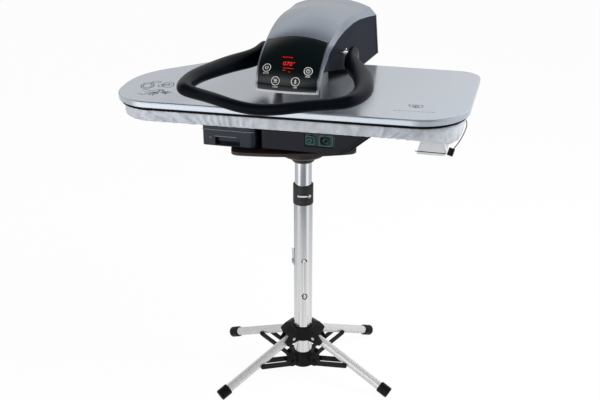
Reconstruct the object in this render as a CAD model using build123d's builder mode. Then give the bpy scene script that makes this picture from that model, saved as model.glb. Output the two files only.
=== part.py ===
from build123d import *
import os
from math import sin, cos, tan, radians, degrees, atan2, hypot

# Steam press with a wide padded board, standing on a telescopic stand with four folding legs.
# Millimetres, +Z up, the press faces -Y. The origin is on the floor, on the axis of the mast.

os.makedirs("parts", exist_ok=True)

# General clearances
FIT = 0.05
SLIDE_FIT = 0.08
GAP = 0.4
SMALL = 0.3

# Mast: the stand stands turned about it, and the press looks straight ahead
STAND_TURN = 15.5
LOWER_TUBE_D = 59.0
LOWER_TUBE_WALL = 2.5
LOWER_TUBE_BOTTOM = 33.0
LOWER_TUBE_TOP = 652.0
UPPER_TUBE_D = 52.0
UPPER_TUBE_WALL = 2.5
UPPER_TUBE_BOTTOM = 255.0
UPPER_TUBE_TOP = 771.0
MAST_TRAVEL = 126.0
COLLAR_D = 63.0
COLLAR_BOTTOM = 617.0
COLLAR_TOP = 680.0
BUSH_LENGTH = 80.0
KEYHOLE_Z = 298.0
KEYHOLE_D = 12.0
SLOT_W = 5.2
GUIDE_PIN_D = 4.4
GUIDE_PIN_PROUD = 1.8

# Catch lever on the left of the mast
CATCH_BOTTOM = 396.0
CATCH_TOP = 456.0
CATCH_PIVOT_Z = 412.0
CATCH_W = 11.0
CATCH_T = 2.2
CATCH_PIN_D = 3.0
CATCH_BASE_T = 1.4

# Folding base
FRONT_SPREAD = 32.0
REAR_SPREAD = 40.0
LEG_PIVOT_R = 48.0
LEG_PIVOT_Z = 141.0
LEG_FOOT_R = 320.0
LEG_TUBE_D = 28.0
LEG_TUBE_WALL = 1.6
LEG_TAIL = 5.0
LEG_PIN_D = 6.0
LEG_PIN_HEAD_T = 1.6
FOOT_CAP_D = 36.0
FOOT_CAP_L = 38.0
FOOT_CAP_R = 4.0
FOOT_FLAT = 0.7
HUB_TOP = 178.0
HUB_BOTTOM = 128.0
HUB_RING_R = 33.0
HUB_CHEEK_T = 3.6
CHEEK_GAP = 0.5
HUB_ROOF_T = 4.0
HUB_TRAVEL = 100.0
STRUT_ALONG = 134.0
STRUT_BELOW = 8.0
STRUT_T = 3.0
STRUT_SIDE_GAP = 2.0
STRUT_W = 18.0
STRUT_EYE_R = 10.8
STRUT_HEAD_R = 5.5
STRUT_HEAD_T = 1.8
LOWER_PIVOT_R = 52.0
LOWER_PIVOT_Z = 47.0
LOWER_HUB_TOP = 79.0
LOWER_HUB_BOTTOM = 28.0
LOWER_HUB_R = 37.0
LOWER_PIN_R = 2.6
OPEN_PIVOT_SLACK = 3.8
LOWER_HEAD_R = 8.5
LOWER_HEAD_T = 2.0

# Head of the mast and the plate that carries the press
FLANGE_BOTTOM = 757.0
FLANGE_D = 70.0
DISC_D = 142.0
PLATE_BOTTOM = 814.0
PLATE_T = 10.0
PLATE_SHEET = 3.0
PLATE_L = 368.0
PLATE_SHIFT = -30.0
PLATE_MID_HALF = 118.0
PLATE_END_HALF = 98.0
PLATE_CORNER_R = 26.0
PLATE_BOLT_R = 42.0
BOLT_HEAD_R = 7.0
BOLT_HEAD_H = 4.5

# Plan of the pressing plate cover: corners and their radii, from the front left
OUTLINE = [(-519.0, -232.0), (488.0, -194.0), (500.0, 302.0), (-274.0, 302.0), (-541.0, 30.0)]
OUTLINE_R = [125.0, 150.0, 65.0, 230.0, 230.0]
COVER_TOP = 983.0
RIM_H = 18.0
RIM_EDGE_R = 5.0
COVER_SKIN = 2.0
HOT_PLATE_INSET = 7.0
HOT_PLATE_T = 12.0
HOT_PLATE_FLOOR = 5.0
HOT_PLATE_RIM = 14.0
HOT_PLATE_RIB = 6.0
CLOTH_TOP = 955.0
CLOTH_BOTTOM = 919.0
CLOTH_INSET = 17.0
CLOTH_T = 3.0
HEM_W = 46.0
PAN_T = 1.6
PAN_LIP_H = 17.0
PAN_CLEAR = 1.0
STEAM_HOLE_D = 4.0
MAT_T = 6.0
MAT_CLEAR = 2.0
BOSS_D = 18.0
BOSS_SPOTS = [(-380, -60), (-380, 60), (-120, -130), (-120, 220), (180, -130), (180, 220), (400, -60), (400, 180)]
PLATE_MID = (-30.0, 40.0)
RIB_STEP = (150.0, 110.0)

# Press head on the arm: depth, half width, height and crown of the top, then half widths
# and height of the silver band's lower edge and of the foot of the side
HEAD_X = -4.0
HEAD_STATIONS = [
    (-50.0, 92.0, 1138.0, 14.0, 92.0, 1108.0, 90.0),
    (20.0, 96.0, 1153.0, 18.0, 99.0, 1129.0, 100.0),
    (85.0, 99.5, 1160.0, 21.0, 106.0, 1139.0, 109.0),
    (150.0, 102.5, 1162.0, 24.0, 114.0, 1144.0, 119.0),
    (228.0, 108.0, 1157.0, 25.0, 123.0, 1142.0, 130.0),
    (350.0, 118.0, 1146.0, 24.0, 137.0, 1127.0, 146.0),
    (450.0, 128.0, 1134.0, 22.0, 147.0, 1110.0, 157.0),
]
HEAD_FLOOR = 988.0
SHELL_T = 3.0
SIDE_T = 2.5
BAND_EDGE = [(-168.0, 1036.0), (-121.0, 1075.0), (-53.0, 1107.0), (21.0, 1129.0), (91.0, 1140.0),
             (173.0, 1145.0), (234.0, 1142.0), (321.0, 1131.0)]
SIDE_FOOT = [(-165.0, 1036.0), (-118.0, 1070.0), (75.0, 1028.0), (150.0, 1005.0), (220.0, 988.0)]
HEAD_BACK = [(414.0, 1180.0), (418.0, 1130.0), (424.0, 1040.0), (428.0, 988.0)]
BAND_REAR_Z = 1117.0
BAND_TUCK = 6.0
BASE_SHEET = 3.2
HEAD_SLAB = 260.0
BOARD_W = 150.0
BOARD_H = 30.0
BOARD_POST = 29.0
BOARD_T = 1.6
CHIP_SIZE = (46.0, 24.0, 8.0)

# Front of the head: sections fan about a point, from upright to level
NOSE_Y = -50.0
NOSE_Z = 1031.0
NOSE_STATIONS = [
    (0.0, 107.0, 92.0, 14.0),
    (22.5, 100.5, 92.0, 12.5),
    (45.0, 104.5, 91.5, 11.0),
    (67.5, 116.5, 90.5, 9.0),
    (90.0, 125.5, 89.0, 8.0),
]
NOSE_DEPTH = 14.0
NOSE_CUT = 9.0
PANEL_T = 4.0
TRIM_W = 2.6
TRIM_PROUD = 0.8
TRIM_FOOT_H = 6.0
DISPLAY_X = (-23.0, 23.0)
DISPLAY_Z = (1074.0, 1119.0)
DISPLAY_T = 1.0

# Hinge of the arm at the rear
HINGE_Y = 352.0
HINGE_Z = 1000.0
COLUMN_R = 34.0
COLUMN_HALF_W = 76.0
COLUMN_WALL = 6.0
HINGE_SHAFT_D = 20.0
FRAME_GAP = 2.0
FRAME_T = 6.0
FRAME_EYE_R = 24.0
SHAFT_END = 4.0
COLUMN_CLEAR = 14.0
CROSS_TUBE = (240.0, 1045.0)
CROSS_TUBE_R = 12.0
CROSS_TUBE_WALL = 3.0

# Bracket between the head and the pressing plate
BRACKET_HALF_W = 60.0
BRACKET_Y = (-10.0, 90.0)
BRACKET_TOP = 1054.0
BRACKET_WALL = 8.0

# Handle: distance from the head axis, depth, height, half width and half height of the grip
HANDLE_PATH = [
    (134.0, 86.0, 1072.0, 17.0, 25.0),
    (138.0, 56.0, 1070.0, 19.0, 28.0),
    (151.0, -10.0, 1067.0, 23.0, 27.0),
    (181.0, -80.0, 1070.0, 26.0, 25.0),
    (211.0, -170.0, 1074.0, 27.0, 22.0),
    (229.0, -262.0, 1079.0, 25.0, 20.0),
    (227.0, -345.0, 1082.0, 22.5, 17.5),
    (197.0, -397.0, 1081.0, 20.0, 15.5),
    (124.0, -428.0, 1078.0, 18.5, 14.5),
    (58.0, -454.0, 1073.0, 17.2, 14.5),
    (0.0, -459.0, 1069.0, 16.2, 14.5),
]
CORE_R = 7.0
CORE_EYE_H = 21.0
HANDLE_Y = 65.0
HANDLE_SHAFT_Z = 1084.0
HANDLE_SHAFT_D = 14.0
HANDLE_COLLAR_D = 22.0
HANDLE_COLLAR_W = 3.0

# Housing under the board
HOUSING_BOTTOM = 836.0
HOUSING_FRONT = -128.0
HOUSING_REAR = 392.0
REAR_NARROW = 300.0
HOUSING_LEFT = -92.0
HOUSING_RIGHT = 158.0
HOUSING_RIGHT_TOP = 238.0
TRAY_LEFT = -290.0
TRAY_Z = 904.0
HOUSING_WALL = 3.0
FLOOR_T = 3.0
HOUSING_R = 18.0
SEAT_X = (-170.0, 200.0)
SEAT_Y = (-110.0, 210.0)
FOOT_D = 26.0
FOOT_SPOTS = [(-66.0, -76.0), (122.0, -62.0), (-70.0, 72.0), (112.0, 84.0)]

# Switch recess on the front of the housing
BEZEL_X = (34.0, 124.0)
BEZEL_Z = (853.0, 894.0)
BEZEL_DEPTH = 4.0
BEZEL_T = 2.5
BUTTON_X = 54.0
SOCKET_X = 93.0
BUTTON_Z = 875.0
BUTTON_D = 24.0
BUTTON_TRAVEL = 2.5
SOCKET_R = 15.0
SOCKET_WALL = 3.0
SOCKET_CORE_R = 7.0
SOCKET_BORE_R = 3.0
SOCKET_PROUD = 1.5

# Water tank on the left, which slides out to the front
TANK_X = (-272.0, -108.0)
TANK_Y = (-131.0, 56.0)
TANK_BOTTOM = 831.0
TANK_LID_Z = 886.0
TANK_TOP = 901.0
TANK_WALL = 2.5
TANK_R = 22.0
TANK_LEFT_R = 6.0
GRIP_X = (-234.0, -158.0)
GRIP_TOP = 859.0
GRIP_BOTTOM = 835.0
GRIP_DEPTH = 18.0
VALVE_X = -150.0
VALVE_Z = 846.0
VALVE_D = 10.0
VALVE_FLANGE_R = 9.0
VALVE_FLANGE_T = 4.0
DOCK_GAP = 8.0
RAIL_HEAD_W = 28.0
RAIL_STEM_W = 16.0
RAIL_HEAD_Z = (891.0, 895.0)

# Boiler and pump inside the housing
BOILER_SPOT = (40.0, 871.0)
BOILER_Y = (100.0, 250.0)
BOILER_R = 28.0
BOILER_FEET = (130.0, 220.0)
PUMP_SPOT = (-50.0, 867.0)
PUMP_Y = (0.0, 80.0)
PUMP_R = 20.0
PUMP_PIPE_R = 6.0
PUMP_BASE = (46.0, 92.0)
MACHINE_FOOT_H = 12.0

# Holder and cord lock under the right corner
REST_X = (359.0, 435.0)
REST_Y = (-150.0, -60.0)
REST_BOTTOM = 869.0
REST_DROP = 5.0
REST_STUD = (384.0, -72.0)
CORD_D = 3.0
CORD_ARC_SHARE = 0.45
CORD_EXIT = (477.6, 8.0, 922.0)
CORD_POINTS = [
    (481.2, -10.0, 921.5),
    (482.0, -45.0, 920.5),
    (478.0, -88.0, 914.0),
    (469.0, -120.0, 902.0),
    (458.0, -138.0, 890.0),
    (451.0, -146.0, 882.0),
]
LOCK_D = 17.0
LOCK_L = 22.0

# Derived sizes
LEG_ANGLES = {
    "front_left": 180 + FRONT_SPREAD + STAND_TURN,
    "front_right": -FRONT_SPREAD + STAND_TURN,
    "rear_left": 180 - REAR_SPREAD + STAND_TURN,
    "rear_right": REAR_SPREAD + STAND_TURN,
}
FOOT_END_Z = (FOOT_CAP_D / 2 - FOOT_CAP_R) * 0.91 + FOOT_CAP_R - 1.7 - FOOT_FLAT
LEG_DROP = LEG_PIVOT_Z - FOOT_END_Z
LEG_RUN = LEG_FOOT_R - LEG_PIVOT_R
LEG_LENGTH = hypot(LEG_RUN, LEG_DROP)
LEG_SLOPE = degrees(atan2(LEG_DROP, LEG_RUN))
LEG_C = cos(radians(LEG_SLOPE))
LEG_S = sin(radians(LEG_SLOPE))
STRUT_TOP = (
    LEG_PIVOT_R + STRUT_ALONG * LEG_C - STRUT_BELOW * LEG_S,
    LEG_PIVOT_Z - STRUT_ALONG * LEG_S - STRUT_BELOW * LEG_C,
)
STRUT_LENGTH = hypot(STRUT_TOP[0] - LOWER_PIVOT_R, STRUT_TOP[1] - LOWER_PIVOT_Z)
STRUT_INNER = LEG_TUBE_D / 2 + STRUT_SIDE_GAP
STRUT_OUTER = STRUT_INNER + STRUT_T
CHEEK_IN = LEG_TUBE_D / 2 + CHEEK_GAP
CHEEK_OUT = CHEEK_IN + HUB_CHEEK_T
EAR_HALF = LEG_TUBE_D / 2 + CHEEK_GAP
FRONT = -90 + STAND_TURN
LEFT = 180 + STAND_TURN
REST_TOP = CLOTH_BOTTOM - REST_DROP
HOT_PLATE_BOTTOM = CLOTH_TOP + GAP
HOT_PLATE_TOP = HOT_PLATE_BOTTOM + HOT_PLATE_T
COVER_UNDER = COVER_TOP - COVER_SKIN
PLATE_TOP = PLATE_BOTTOM + PLATE_T
PAN_INSET = CLOTH_INSET + CLOTH_T + PAN_CLEAR
MAT_INSET = HOT_PLATE_INSET + HOT_PLATE_RIM
FRAME_IN = COLUMN_HALF_W + FRAME_GAP
FRAME_OUT = FRAME_IN + FRAME_T
DOCK_Y = TANK_Y[1] + DOCK_GAP
BAY_X = (TRAY_LEFT + HOUSING_LEFT) / 2
TANK_MID_X = (TANK_X[0] + TANK_X[1]) / 2


def radial_plane(angle, out=0.0, height=0.0):
    """Upright plane through the mast axis; its x runs outwards and its y runs up."""
    a = radians(angle)
    return Plane(
        origin=(out * cos(a), out * sin(a), height),
        x_dir=(cos(a), sin(a), 0),
        z_dir=(sin(a), -cos(a), 0),
    )


def outward_plane(angle, out, height):
    """Upright plane that faces away from the mast axis at a distance from it."""
    a = radians(angle)
    return Plane(
        origin=(out * cos(a), out * sin(a), height),
        x_dir=(-sin(a), cos(a), 0),
        z_dir=(cos(a), sin(a), 0),
    )


def plan(inset):
    """Plan outline of the press, drawn in by an inset."""
    with BuildSketch() as face:
        with BuildLine():
            FilletPolyline(*OUTLINE, radius=OUTLINE_R, close=True)
        make_face()
        if inset:
            offset(amount=-inset)
    return face.sketch


def head_section(station, inset):
    """Cross-section of the head at one depth: arched top, band and side, drawn in by an inset."""
    y, half, crease, crown, band_half, band_z, foot_half = station
    floor = HEAD_FLOOR - 20
    right = [(half, crease), (band_half, band_z), (foot_half, floor)]
    left = [(-x, z) for x, z in reversed(right)]
    with BuildSketch(Plane(origin=(HEAD_X, y, 0), x_dir=(1, 0, 0), z_dir=(0, -1, 0))) as face:
        with BuildLine():
            Polyline(*right, *left)
            ThreePointArc(left[-1], (0, crease + crown), right[0])
        make_face()
        if inset:
            offset(amount=-inset, kind=Kind.INTERSECTION)
    return face.sketch


def head_block(inset):
    """Solid of the head behind the panel."""
    with BuildPart() as block:
        for station in HEAD_STATIONS:
            add(head_section(station, inset))
        loft()
    return block.part


def nose_block(inset, grow, depth=NOSE_DEPTH):
    """Solid of the head's front, whose sections fan from upright to level."""
    with BuildPart() as block:
        for angle, reach, half, crown in NOSE_STATIONS:
            a = radians(angle)
            half = half - inset
            outer = reach + grow
            fan = Plane(
                origin=(HEAD_X, NOSE_Y, NOSE_Z), x_dir=(1, 0, 0), z_dir=(0, -cos(a), -sin(a))
            )
            with BuildSketch(fan):
                with BuildLine():
                    Polyline((half, outer), (half, depth), (-half, depth), (-half, outer))
                    ThreePointArc((-half, outer), (0, outer + crown), (half, outer))
                make_face()
        loft()
    return block.part


def back_region(inset):
    """Everything behind the rear wall of the head, moved in by an inset."""
    line = [(y - inset, z) for y, z in HEAD_BACK]
    line[-1] = (line[-1][0], HEAD_FLOOR - 40)
    far = HEAD_BACK[-1][0] + 100
    return side_region(line + [(far, line[-1][1]), (far, line[0][1])], HEAD_SLAB)


def head_core(inset):
    """Head with its rear wall line, drawn in by an inset."""
    with BuildPart() as core:
        add(head_block(inset))
        add(back_region(inset), mode=Mode.SUBTRACT)
    return core.part


def path_planes():
    """Planes square to the handle's path, from one pivot round the front to the other."""
    right = [(x, y, z) for x, y, z, *_ in HANDLE_PATH]
    points = right + [(-x, y, z) for x, y, z in reversed(right[:-1])]
    planes = []
    for i, (x, y, z) in enumerate(points):
        before = points[max(i - 1, 0)]
        after = points[min(i + 1, len(points) - 1)]
        run = Vector(after[0] - before[0], after[1] - before[1], 0).normalized()
        planes.append(Plane(origin=(HEAD_X + x, y, z), x_dir=(-run.Y, run.X, 0), z_dir=run))
    return planes


def handle_loop(sizes):
    """Loop lofted through ellipses on the handle's path, both arms in one."""
    with BuildPart() as loop:
        for plane, size in zip(path_planes(), sizes + sizes[-2::-1]):
            with BuildSketch(plane):
                Ellipse(*size)
        loft()
    return loop.part


def side_region(points, half):
    """Slab seen from the side, between two x values on both sides of the head axis."""
    with BuildPart() as slab:
        with BuildSketch(Plane(origin=(HEAD_X, 0, 0), x_dir=(0, 1, 0), z_dir=(1, 0, 0))):
            with BuildLine():
                Polyline(*points, close=True)
            make_face()
        extrude(amount=half, both=True)
    return slab.part


def leg_point(along, up):
    """Point in the radial plane at a length along the leg and a height off its axis."""
    return (
        LEG_PIVOT_R + along * LEG_C + up * LEG_S,
        LEG_PIVOT_Z - along * LEG_S + up * LEG_C,
    )


# Lower tube of the mast, with the keyhole slot in front and the catch hole at the left
with BuildPart() as lower_tube:
    with BuildSketch(Plane.XY.offset(LOWER_TUBE_BOTTOM)):
        Circle(LOWER_TUBE_D / 2)
        Circle(LOWER_TUBE_D / 2 - LOWER_TUBE_WALL, mode=Mode.SUBTRACT)
    extrude(amount=LOWER_TUBE_TOP - LOWER_TUBE_BOTTOM)
    with BuildSketch(outward_plane(FRONT, LOWER_TUBE_D / 2 + 2, KEYHOLE_Z)):
        Circle(KEYHOLE_D / 2)
        with Locations((0, MAST_TRAVEL / 2)):
            Rectangle(SLOT_W, MAST_TRAVEL)
        with Locations((0, MAST_TRAVEL)):
            Circle(KEYHOLE_D / 2)
    extrude(amount=-LOWER_TUBE_D / 4, mode=Mode.SUBTRACT)
lower_tube.part.label = "lower_tube"
export_step(lower_tube.part, "parts/lower_tube.step")

# Collar over the top of the lower tube, which guides the upper tube
with BuildPart() as mast_collar:
    with BuildSketch(Plane.XY.offset(COLLAR_BOTTOM)):
        Circle(COLLAR_D / 2)
        Circle(LOWER_TUBE_D / 2, mode=Mode.SUBTRACT)
    extrude(amount=LOWER_TUBE_TOP - COLLAR_BOTTOM)
    with BuildSketch(Plane.XY.offset(LOWER_TUBE_TOP)):
        Circle(COLLAR_D / 2)
        Circle(UPPER_TUBE_D / 2 + SLIDE_FIT, mode=Mode.SUBTRACT)
    extrude(amount=COLLAR_TOP - LOWER_TUBE_TOP)
    fillet(mast_collar.edges().filter_by(GeomType.CIRCLE).group_by(Axis.Z)[-1].sort_by(SortBy.RADIUS)[-1], 1.8)
    fillet(mast_collar.edges().filter_by(GeomType.CIRCLE).group_by(Axis.Z)[0].sort_by(SortBy.RADIUS)[-1], 0.8)
mast_collar.part.label = "mast_collar"
export_step(mast_collar.part, "parts/mast_collar.step")

# Bush inside the top of the lower tube
with BuildPart() as tube_bush:
    with BuildSketch(Plane.XY.offset(LOWER_TUBE_TOP - BUSH_LENGTH)):
        Circle(LOWER_TUBE_D / 2 - LOWER_TUBE_WALL)
        Circle(UPPER_TUBE_D / 2 + SLIDE_FIT, mode=Mode.SUBTRACT)
    extrude(amount=BUSH_LENGTH)
tube_bush.part.label = "tube_bush"
export_step(tube_bush.part, "parts/tube_bush.step")

# Saddle of the catch lever, bent round the tube
with BuildPart() as catch_bracket:
    with BuildSketch(outward_plane(LEFT, 0, (CATCH_BOTTOM + CATCH_TOP) / 2)):
        Rectangle(CATCH_W + 8, CATCH_TOP - CATCH_BOTTOM - 8)
    extrude(amount=LOWER_TUBE_D / 2 + CATCH_BASE_T)
    with BuildSketch(outward_plane(LEFT, 0, CATCH_PIVOT_Z)):
        with Locations((-(CATCH_W / 2 + 1.5), 0), (CATCH_W / 2 + 1.5, 0)):
            Rectangle(2, 8)
    extrude(amount=LOWER_TUBE_D / 2 + 6.5)
    with BuildSketch(radial_plane(LEFT, LOWER_TUBE_D / 2, 0)):
        with Locations((3.0 + CATCH_T / 2, CATCH_PIVOT_Z)):
            Circle(CATCH_PIN_D / 2)
    extrude(amount=CATCH_W, both=True, mode=Mode.SUBTRACT)
    with Locations((0, 0, (CATCH_BOTTOM + CATCH_TOP) / 2)):
        Cylinder(LOWER_TUBE_D / 2, CATCH_TOP, mode=Mode.SUBTRACT)
catch_bracket.part.label = "catch_bracket"
export_step(catch_bracket.part, "parts/catch_bracket.step")

# Catch lever, a flat finger plate on a cross pin
with BuildPart() as catch_lever:
    with BuildSketch(radial_plane(LEFT, LOWER_TUBE_D / 2, 0)):
        with BuildLine():
            Polyline(
                (3.0, CATCH_BOTTOM + 8),
                (3.0, CATCH_TOP - 14),
                (4.2, CATCH_TOP),
                (4.2 + CATCH_T, CATCH_TOP),
                (3.0 + CATCH_T, CATCH_TOP - 14),
                (3.0 + CATCH_T, CATCH_BOTTOM + 8),
                close=True,
            )
        make_face()
    extrude(amount=CATCH_W / 2, both=True)
    with BuildSketch(radial_plane(LEFT, LOWER_TUBE_D / 2, 0)):
        with Locations((3.0 + CATCH_T / 2, CATCH_PIVOT_Z)):
            Circle(CATCH_PIN_D / 2 - FIT)
    extrude(amount=CATCH_W / 2 + 2.5, both=True)
catch_lever.part.label = "catch_lever"
export_step(catch_lever.part, "parts/catch_lever.step")

# Lower hub: a cup under the tube with one ear and pivot pin for each pair of struts
with BuildPart() as lower_hub:
    with BuildSketch(Plane.XZ):
        with BuildLine():
            Polyline(
                (0, LOWER_HUB_BOTTOM),
                (LOWER_HUB_R, LOWER_HUB_BOTTOM),
                (LOWER_HUB_R, LOWER_HUB_TOP - 16),
                (LOWER_HUB_R - 4, LOWER_HUB_TOP),
                (0, LOWER_HUB_TOP),
                close=True,
            )
        make_face()
    revolve(axis=Axis.Z)
    for angle in LEG_ANGLES.values():
        with BuildSketch(radial_plane(angle)):
            with BuildLine():
                Polyline(
                    (20, LOWER_HUB_BOTTOM + 2),
                    (LOWER_PIVOT_R + 3, LOWER_HUB_BOTTOM + 6),
                    (LOWER_PIVOT_R + 9, LOWER_PIVOT_Z - 2),
                    (LOWER_PIVOT_R + 7, LOWER_PIVOT_Z + 8),
                    (LOWER_HUB_R, LOWER_HUB_TOP - 10),
                    (20, LOWER_HUB_TOP - 10),
                    close=True,
                )
            make_face()
        extrude(amount=EAR_HALF, both=True)
        with BuildSketch(radial_plane(angle)):
            with Locations((LOWER_PIVOT_R, LOWER_PIVOT_Z)):
                Circle(LOWER_PIN_R)
        extrude(amount=STRUT_OUTER + SMALL + LOWER_HEAD_T, both=True)
        for side in (-1, 1):
            with BuildSketch(radial_plane(angle).offset(side * (STRUT_OUTER + SMALL))):
                with Locations((LOWER_PIVOT_R, LOWER_PIVOT_Z)):
                    Circle(LOWER_HEAD_R)
            extrude(amount=side * LOWER_HEAD_T)
    with BuildSketch(Plane.XY.offset(LOWER_TUBE_BOTTOM)):
        Circle(LOWER_TUBE_D / 2)
    extrude(amount=LOWER_HUB_TOP, mode=Mode.SUBTRACT)
lower_hub.part.label = "lower_hub"
export_step(lower_hub.part, "parts/lower_hub.step")

# Upper hub: slides on the tube and carries a hooded clevis for each leg
with BuildPart() as upper_hub:
    with BuildSketch(Plane.XZ):
        with BuildLine():
            Polyline(
                (0, HUB_BOTTOM),
                (HUB_RING_R, HUB_BOTTOM),
                (HUB_RING_R, HUB_TOP - 8),
                (HUB_RING_R - 1.5, HUB_TOP),
                (0, HUB_TOP),
                close=True,
            )
        make_face()
    revolve(axis=Axis.Z)
    for angle in LEG_ANGLES.values():
        with BuildSketch(radial_plane(angle)):
            with BuildLine():
                Polyline(
                    (20, HUB_BOTTOM),
                    (LEG_PIVOT_R + 10, HUB_BOTTOM - 4),
                    (LEG_PIVOT_R + 24, HUB_BOTTOM - 8),
                    (LEG_PIVOT_R + 34, HUB_BOTTOM + 10),
                    (LEG_PIVOT_R + 12, HUB_TOP - 12),
                    (LEG_PIVOT_R - 8, HUB_TOP - 3),
                    (20, HUB_TOP - 3),
                    close=True,
                )
            make_face()
            fillet(vertices().sort_by(Axis.X)[-3:], 4)
        extrude(amount=CHEEK_OUT, both=True)
    for angle in LEG_ANGLES.values():
        with BuildSketch(radial_plane(angle)):
            with BuildLine():
                Polyline(
                    (HUB_RING_R + 0.4, HUB_BOTTOM - 30),
                    (HUB_RING_R + 0.4, HUB_TOP - 3 - HUB_ROOF_T),
                    (LEG_PIVOT_R - 8, HUB_TOP - 3 - HUB_ROOF_T),
                    (LEG_PIVOT_R + 11, HUB_TOP - 13 - HUB_ROOF_T),
                    (LEG_PIVOT_R + 62, HUB_BOTTOM + 8),
                    (LEG_PIVOT_R + 62, HUB_BOTTOM - 30),
                    close=True,
                )
            make_face()
        extrude(amount=CHEEK_IN, both=True, mode=Mode.SUBTRACT)
        with BuildSketch(radial_plane(angle)):
            with Locations((LEG_PIVOT_R, LEG_PIVOT_Z)):
                Circle(LEG_PIN_D / 2)
        extrude(amount=CHEEK_OUT + 1, both=True, mode=Mode.SUBTRACT)
    with BuildSketch(Plane.XY.offset(HUB_BOTTOM - 10)):
        Circle(LOWER_TUBE_D / 2 + SLIDE_FIT)
    extrude(amount=HUB_TOP, mode=Mode.SUBTRACT)
upper_hub.part.label = "upper_hub"
export_step(upper_hub.part, "parts/upper_hub.step")

# Pivot pins of the four legs, with a head on each side of the clevis
with BuildPart() as hub_pins:
    for angle in LEG_ANGLES.values():
        with BuildSketch(radial_plane(angle)):
            with Locations((LEG_PIVOT_R, LEG_PIVOT_Z)):
                Circle(LEG_PIN_D / 2)
        extrude(amount=CHEEK_OUT + LEG_PIN_HEAD_T, both=True)
        for side in (-1, 1):
            with BuildSketch(radial_plane(angle).offset(side * CHEEK_OUT)):
                with Locations((LEG_PIVOT_R, LEG_PIVOT_Z)):
                    Circle(LEG_PIN_D * 0.9)
            extrude(amount=side * LEG_PIN_HEAD_T)
hub_pins.part.label = "hub_pins"
export_step(hub_pins.part, "parts/hub_pins.step")

# Legs, their rubber caps and the fork struts, one set for each direction
for name, angle in LEG_ANGLES.items():
    axis_plane = radial_plane(angle)
    a = radians(angle)
    run = Vector(cos(a) * LEG_C, sin(a) * LEG_C, -LEG_S)
    side_dir = (sin(a), -cos(a), 0)
    tail = leg_point(-LEG_TAIL, 0)
    cap = leg_point(LEG_LENGTH - FOOT_CAP_L, 0)
    tube_end = LEG_LENGTH - FOOT_CAP_R - 1
    tail_plane = Plane(
        origin=(tail[0] * cos(a), tail[0] * sin(a), tail[1]), x_dir=side_dir, z_dir=run
    )
    cap_plane = Plane(
        origin=(cap[0] * cos(a), cap[0] * sin(a), cap[1]), x_dir=side_dir, z_dir=run
    )

    with BuildPart() as leg:
        with BuildSketch(tail_plane):
            Circle(LEG_TUBE_D / 2)
            Circle(LEG_TUBE_D / 2 - LEG_TUBE_WALL, mode=Mode.SUBTRACT)
        extrude(amount=tube_end + LEG_TAIL)
        with BuildSketch(axis_plane):
            with Locations((LEG_PIVOT_R, LEG_PIVOT_Z), STRUT_TOP):
                Circle(LEG_PIN_D / 2 + FIT)
        extrude(amount=LEG_TUBE_D, both=True, mode=Mode.SUBTRACT)
    leg.part.label = "leg_" + name
    export_step(leg.part, "parts/leg_" + name + ".step")

    with BuildPart() as foot_cap:
        with BuildSketch(cap_plane):
            Circle(FOOT_CAP_D / 2)
        extrude(amount=FOOT_CAP_L)
        far = foot_cap.edges().filter_by(GeomType.CIRCLE).sort_by(Axis.Z)
        fillet(far, FOOT_CAP_R)
        with BuildSketch(cap_plane):
            Circle(LEG_TUBE_D / 2)
        extrude(amount=tube_end - (LEG_LENGTH - FOOT_CAP_L), mode=Mode.SUBTRACT)
        split(bisect_by=Plane.XY, keep=Keep.TOP)
    foot_cap.part.label = "foot_cap_" + name
    export_step(foot_cap.part, "parts/foot_cap_" + name + ".step")

    strut_tilt = degrees(atan2(STRUT_TOP[1] - LOWER_PIVOT_Z, STRUT_TOP[0] - LOWER_PIVOT_R))
    with BuildPart() as strut:
        for side in (-1, 1):
            with BuildSketch(axis_plane.offset(side * STRUT_INNER)):
                with Locations(STRUT_TOP):
                    Circle(STRUT_W / 2)
                with Locations((LOWER_PIVOT_R, LOWER_PIVOT_Z)):
                    Circle(STRUT_EYE_R)
                middle = ((STRUT_TOP[0] + LOWER_PIVOT_R) / 2, (STRUT_TOP[1] + LOWER_PIVOT_Z) / 2)
                with Locations(Location((middle[0], middle[1], 0), (0, 0, strut_tilt))):
                    Rectangle(STRUT_LENGTH, STRUT_W)
                with Locations((LOWER_PIVOT_R, LOWER_PIVOT_Z)):
                    Circle(LOWER_PIN_R + OPEN_PIVOT_SLACK, mode=Mode.SUBTRACT)
            extrude(amount=side * STRUT_T)
            with BuildSketch(axis_plane.offset(side * STRUT_OUTER)):
                with Locations(STRUT_TOP):
                    Circle(STRUT_HEAD_R)
            extrude(amount=side * STRUT_HEAD_T)
        with BuildSketch(axis_plane):
            with Locations(STRUT_TOP):
                Circle(LEG_PIN_D / 2)
        extrude(amount=STRUT_OUTER, both=True)
    strut.part.label = "strut_" + name
    export_step(strut.part, "parts/strut_" + name + ".step")

# Upper tube of the mast
with BuildPart() as upper_tube:
    with BuildSketch(Plane.XY.offset(UPPER_TUBE_BOTTOM)):
        Circle(UPPER_TUBE_D / 2)
        Circle(UPPER_TUBE_D / 2 - UPPER_TUBE_WALL, mode=Mode.SUBTRACT)
    extrude(amount=UPPER_TUBE_TOP - UPPER_TUBE_BOTTOM)
    with BuildSketch(outward_plane(FRONT, 0, KEYHOLE_Z)):
        Circle(GUIDE_PIN_D / 2)
    extrude(amount=UPPER_TUBE_D, mode=Mode.SUBTRACT)
upper_tube.part.label = "upper_tube"
export_step(upper_tube.part, "parts/upper_tube.step")

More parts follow.
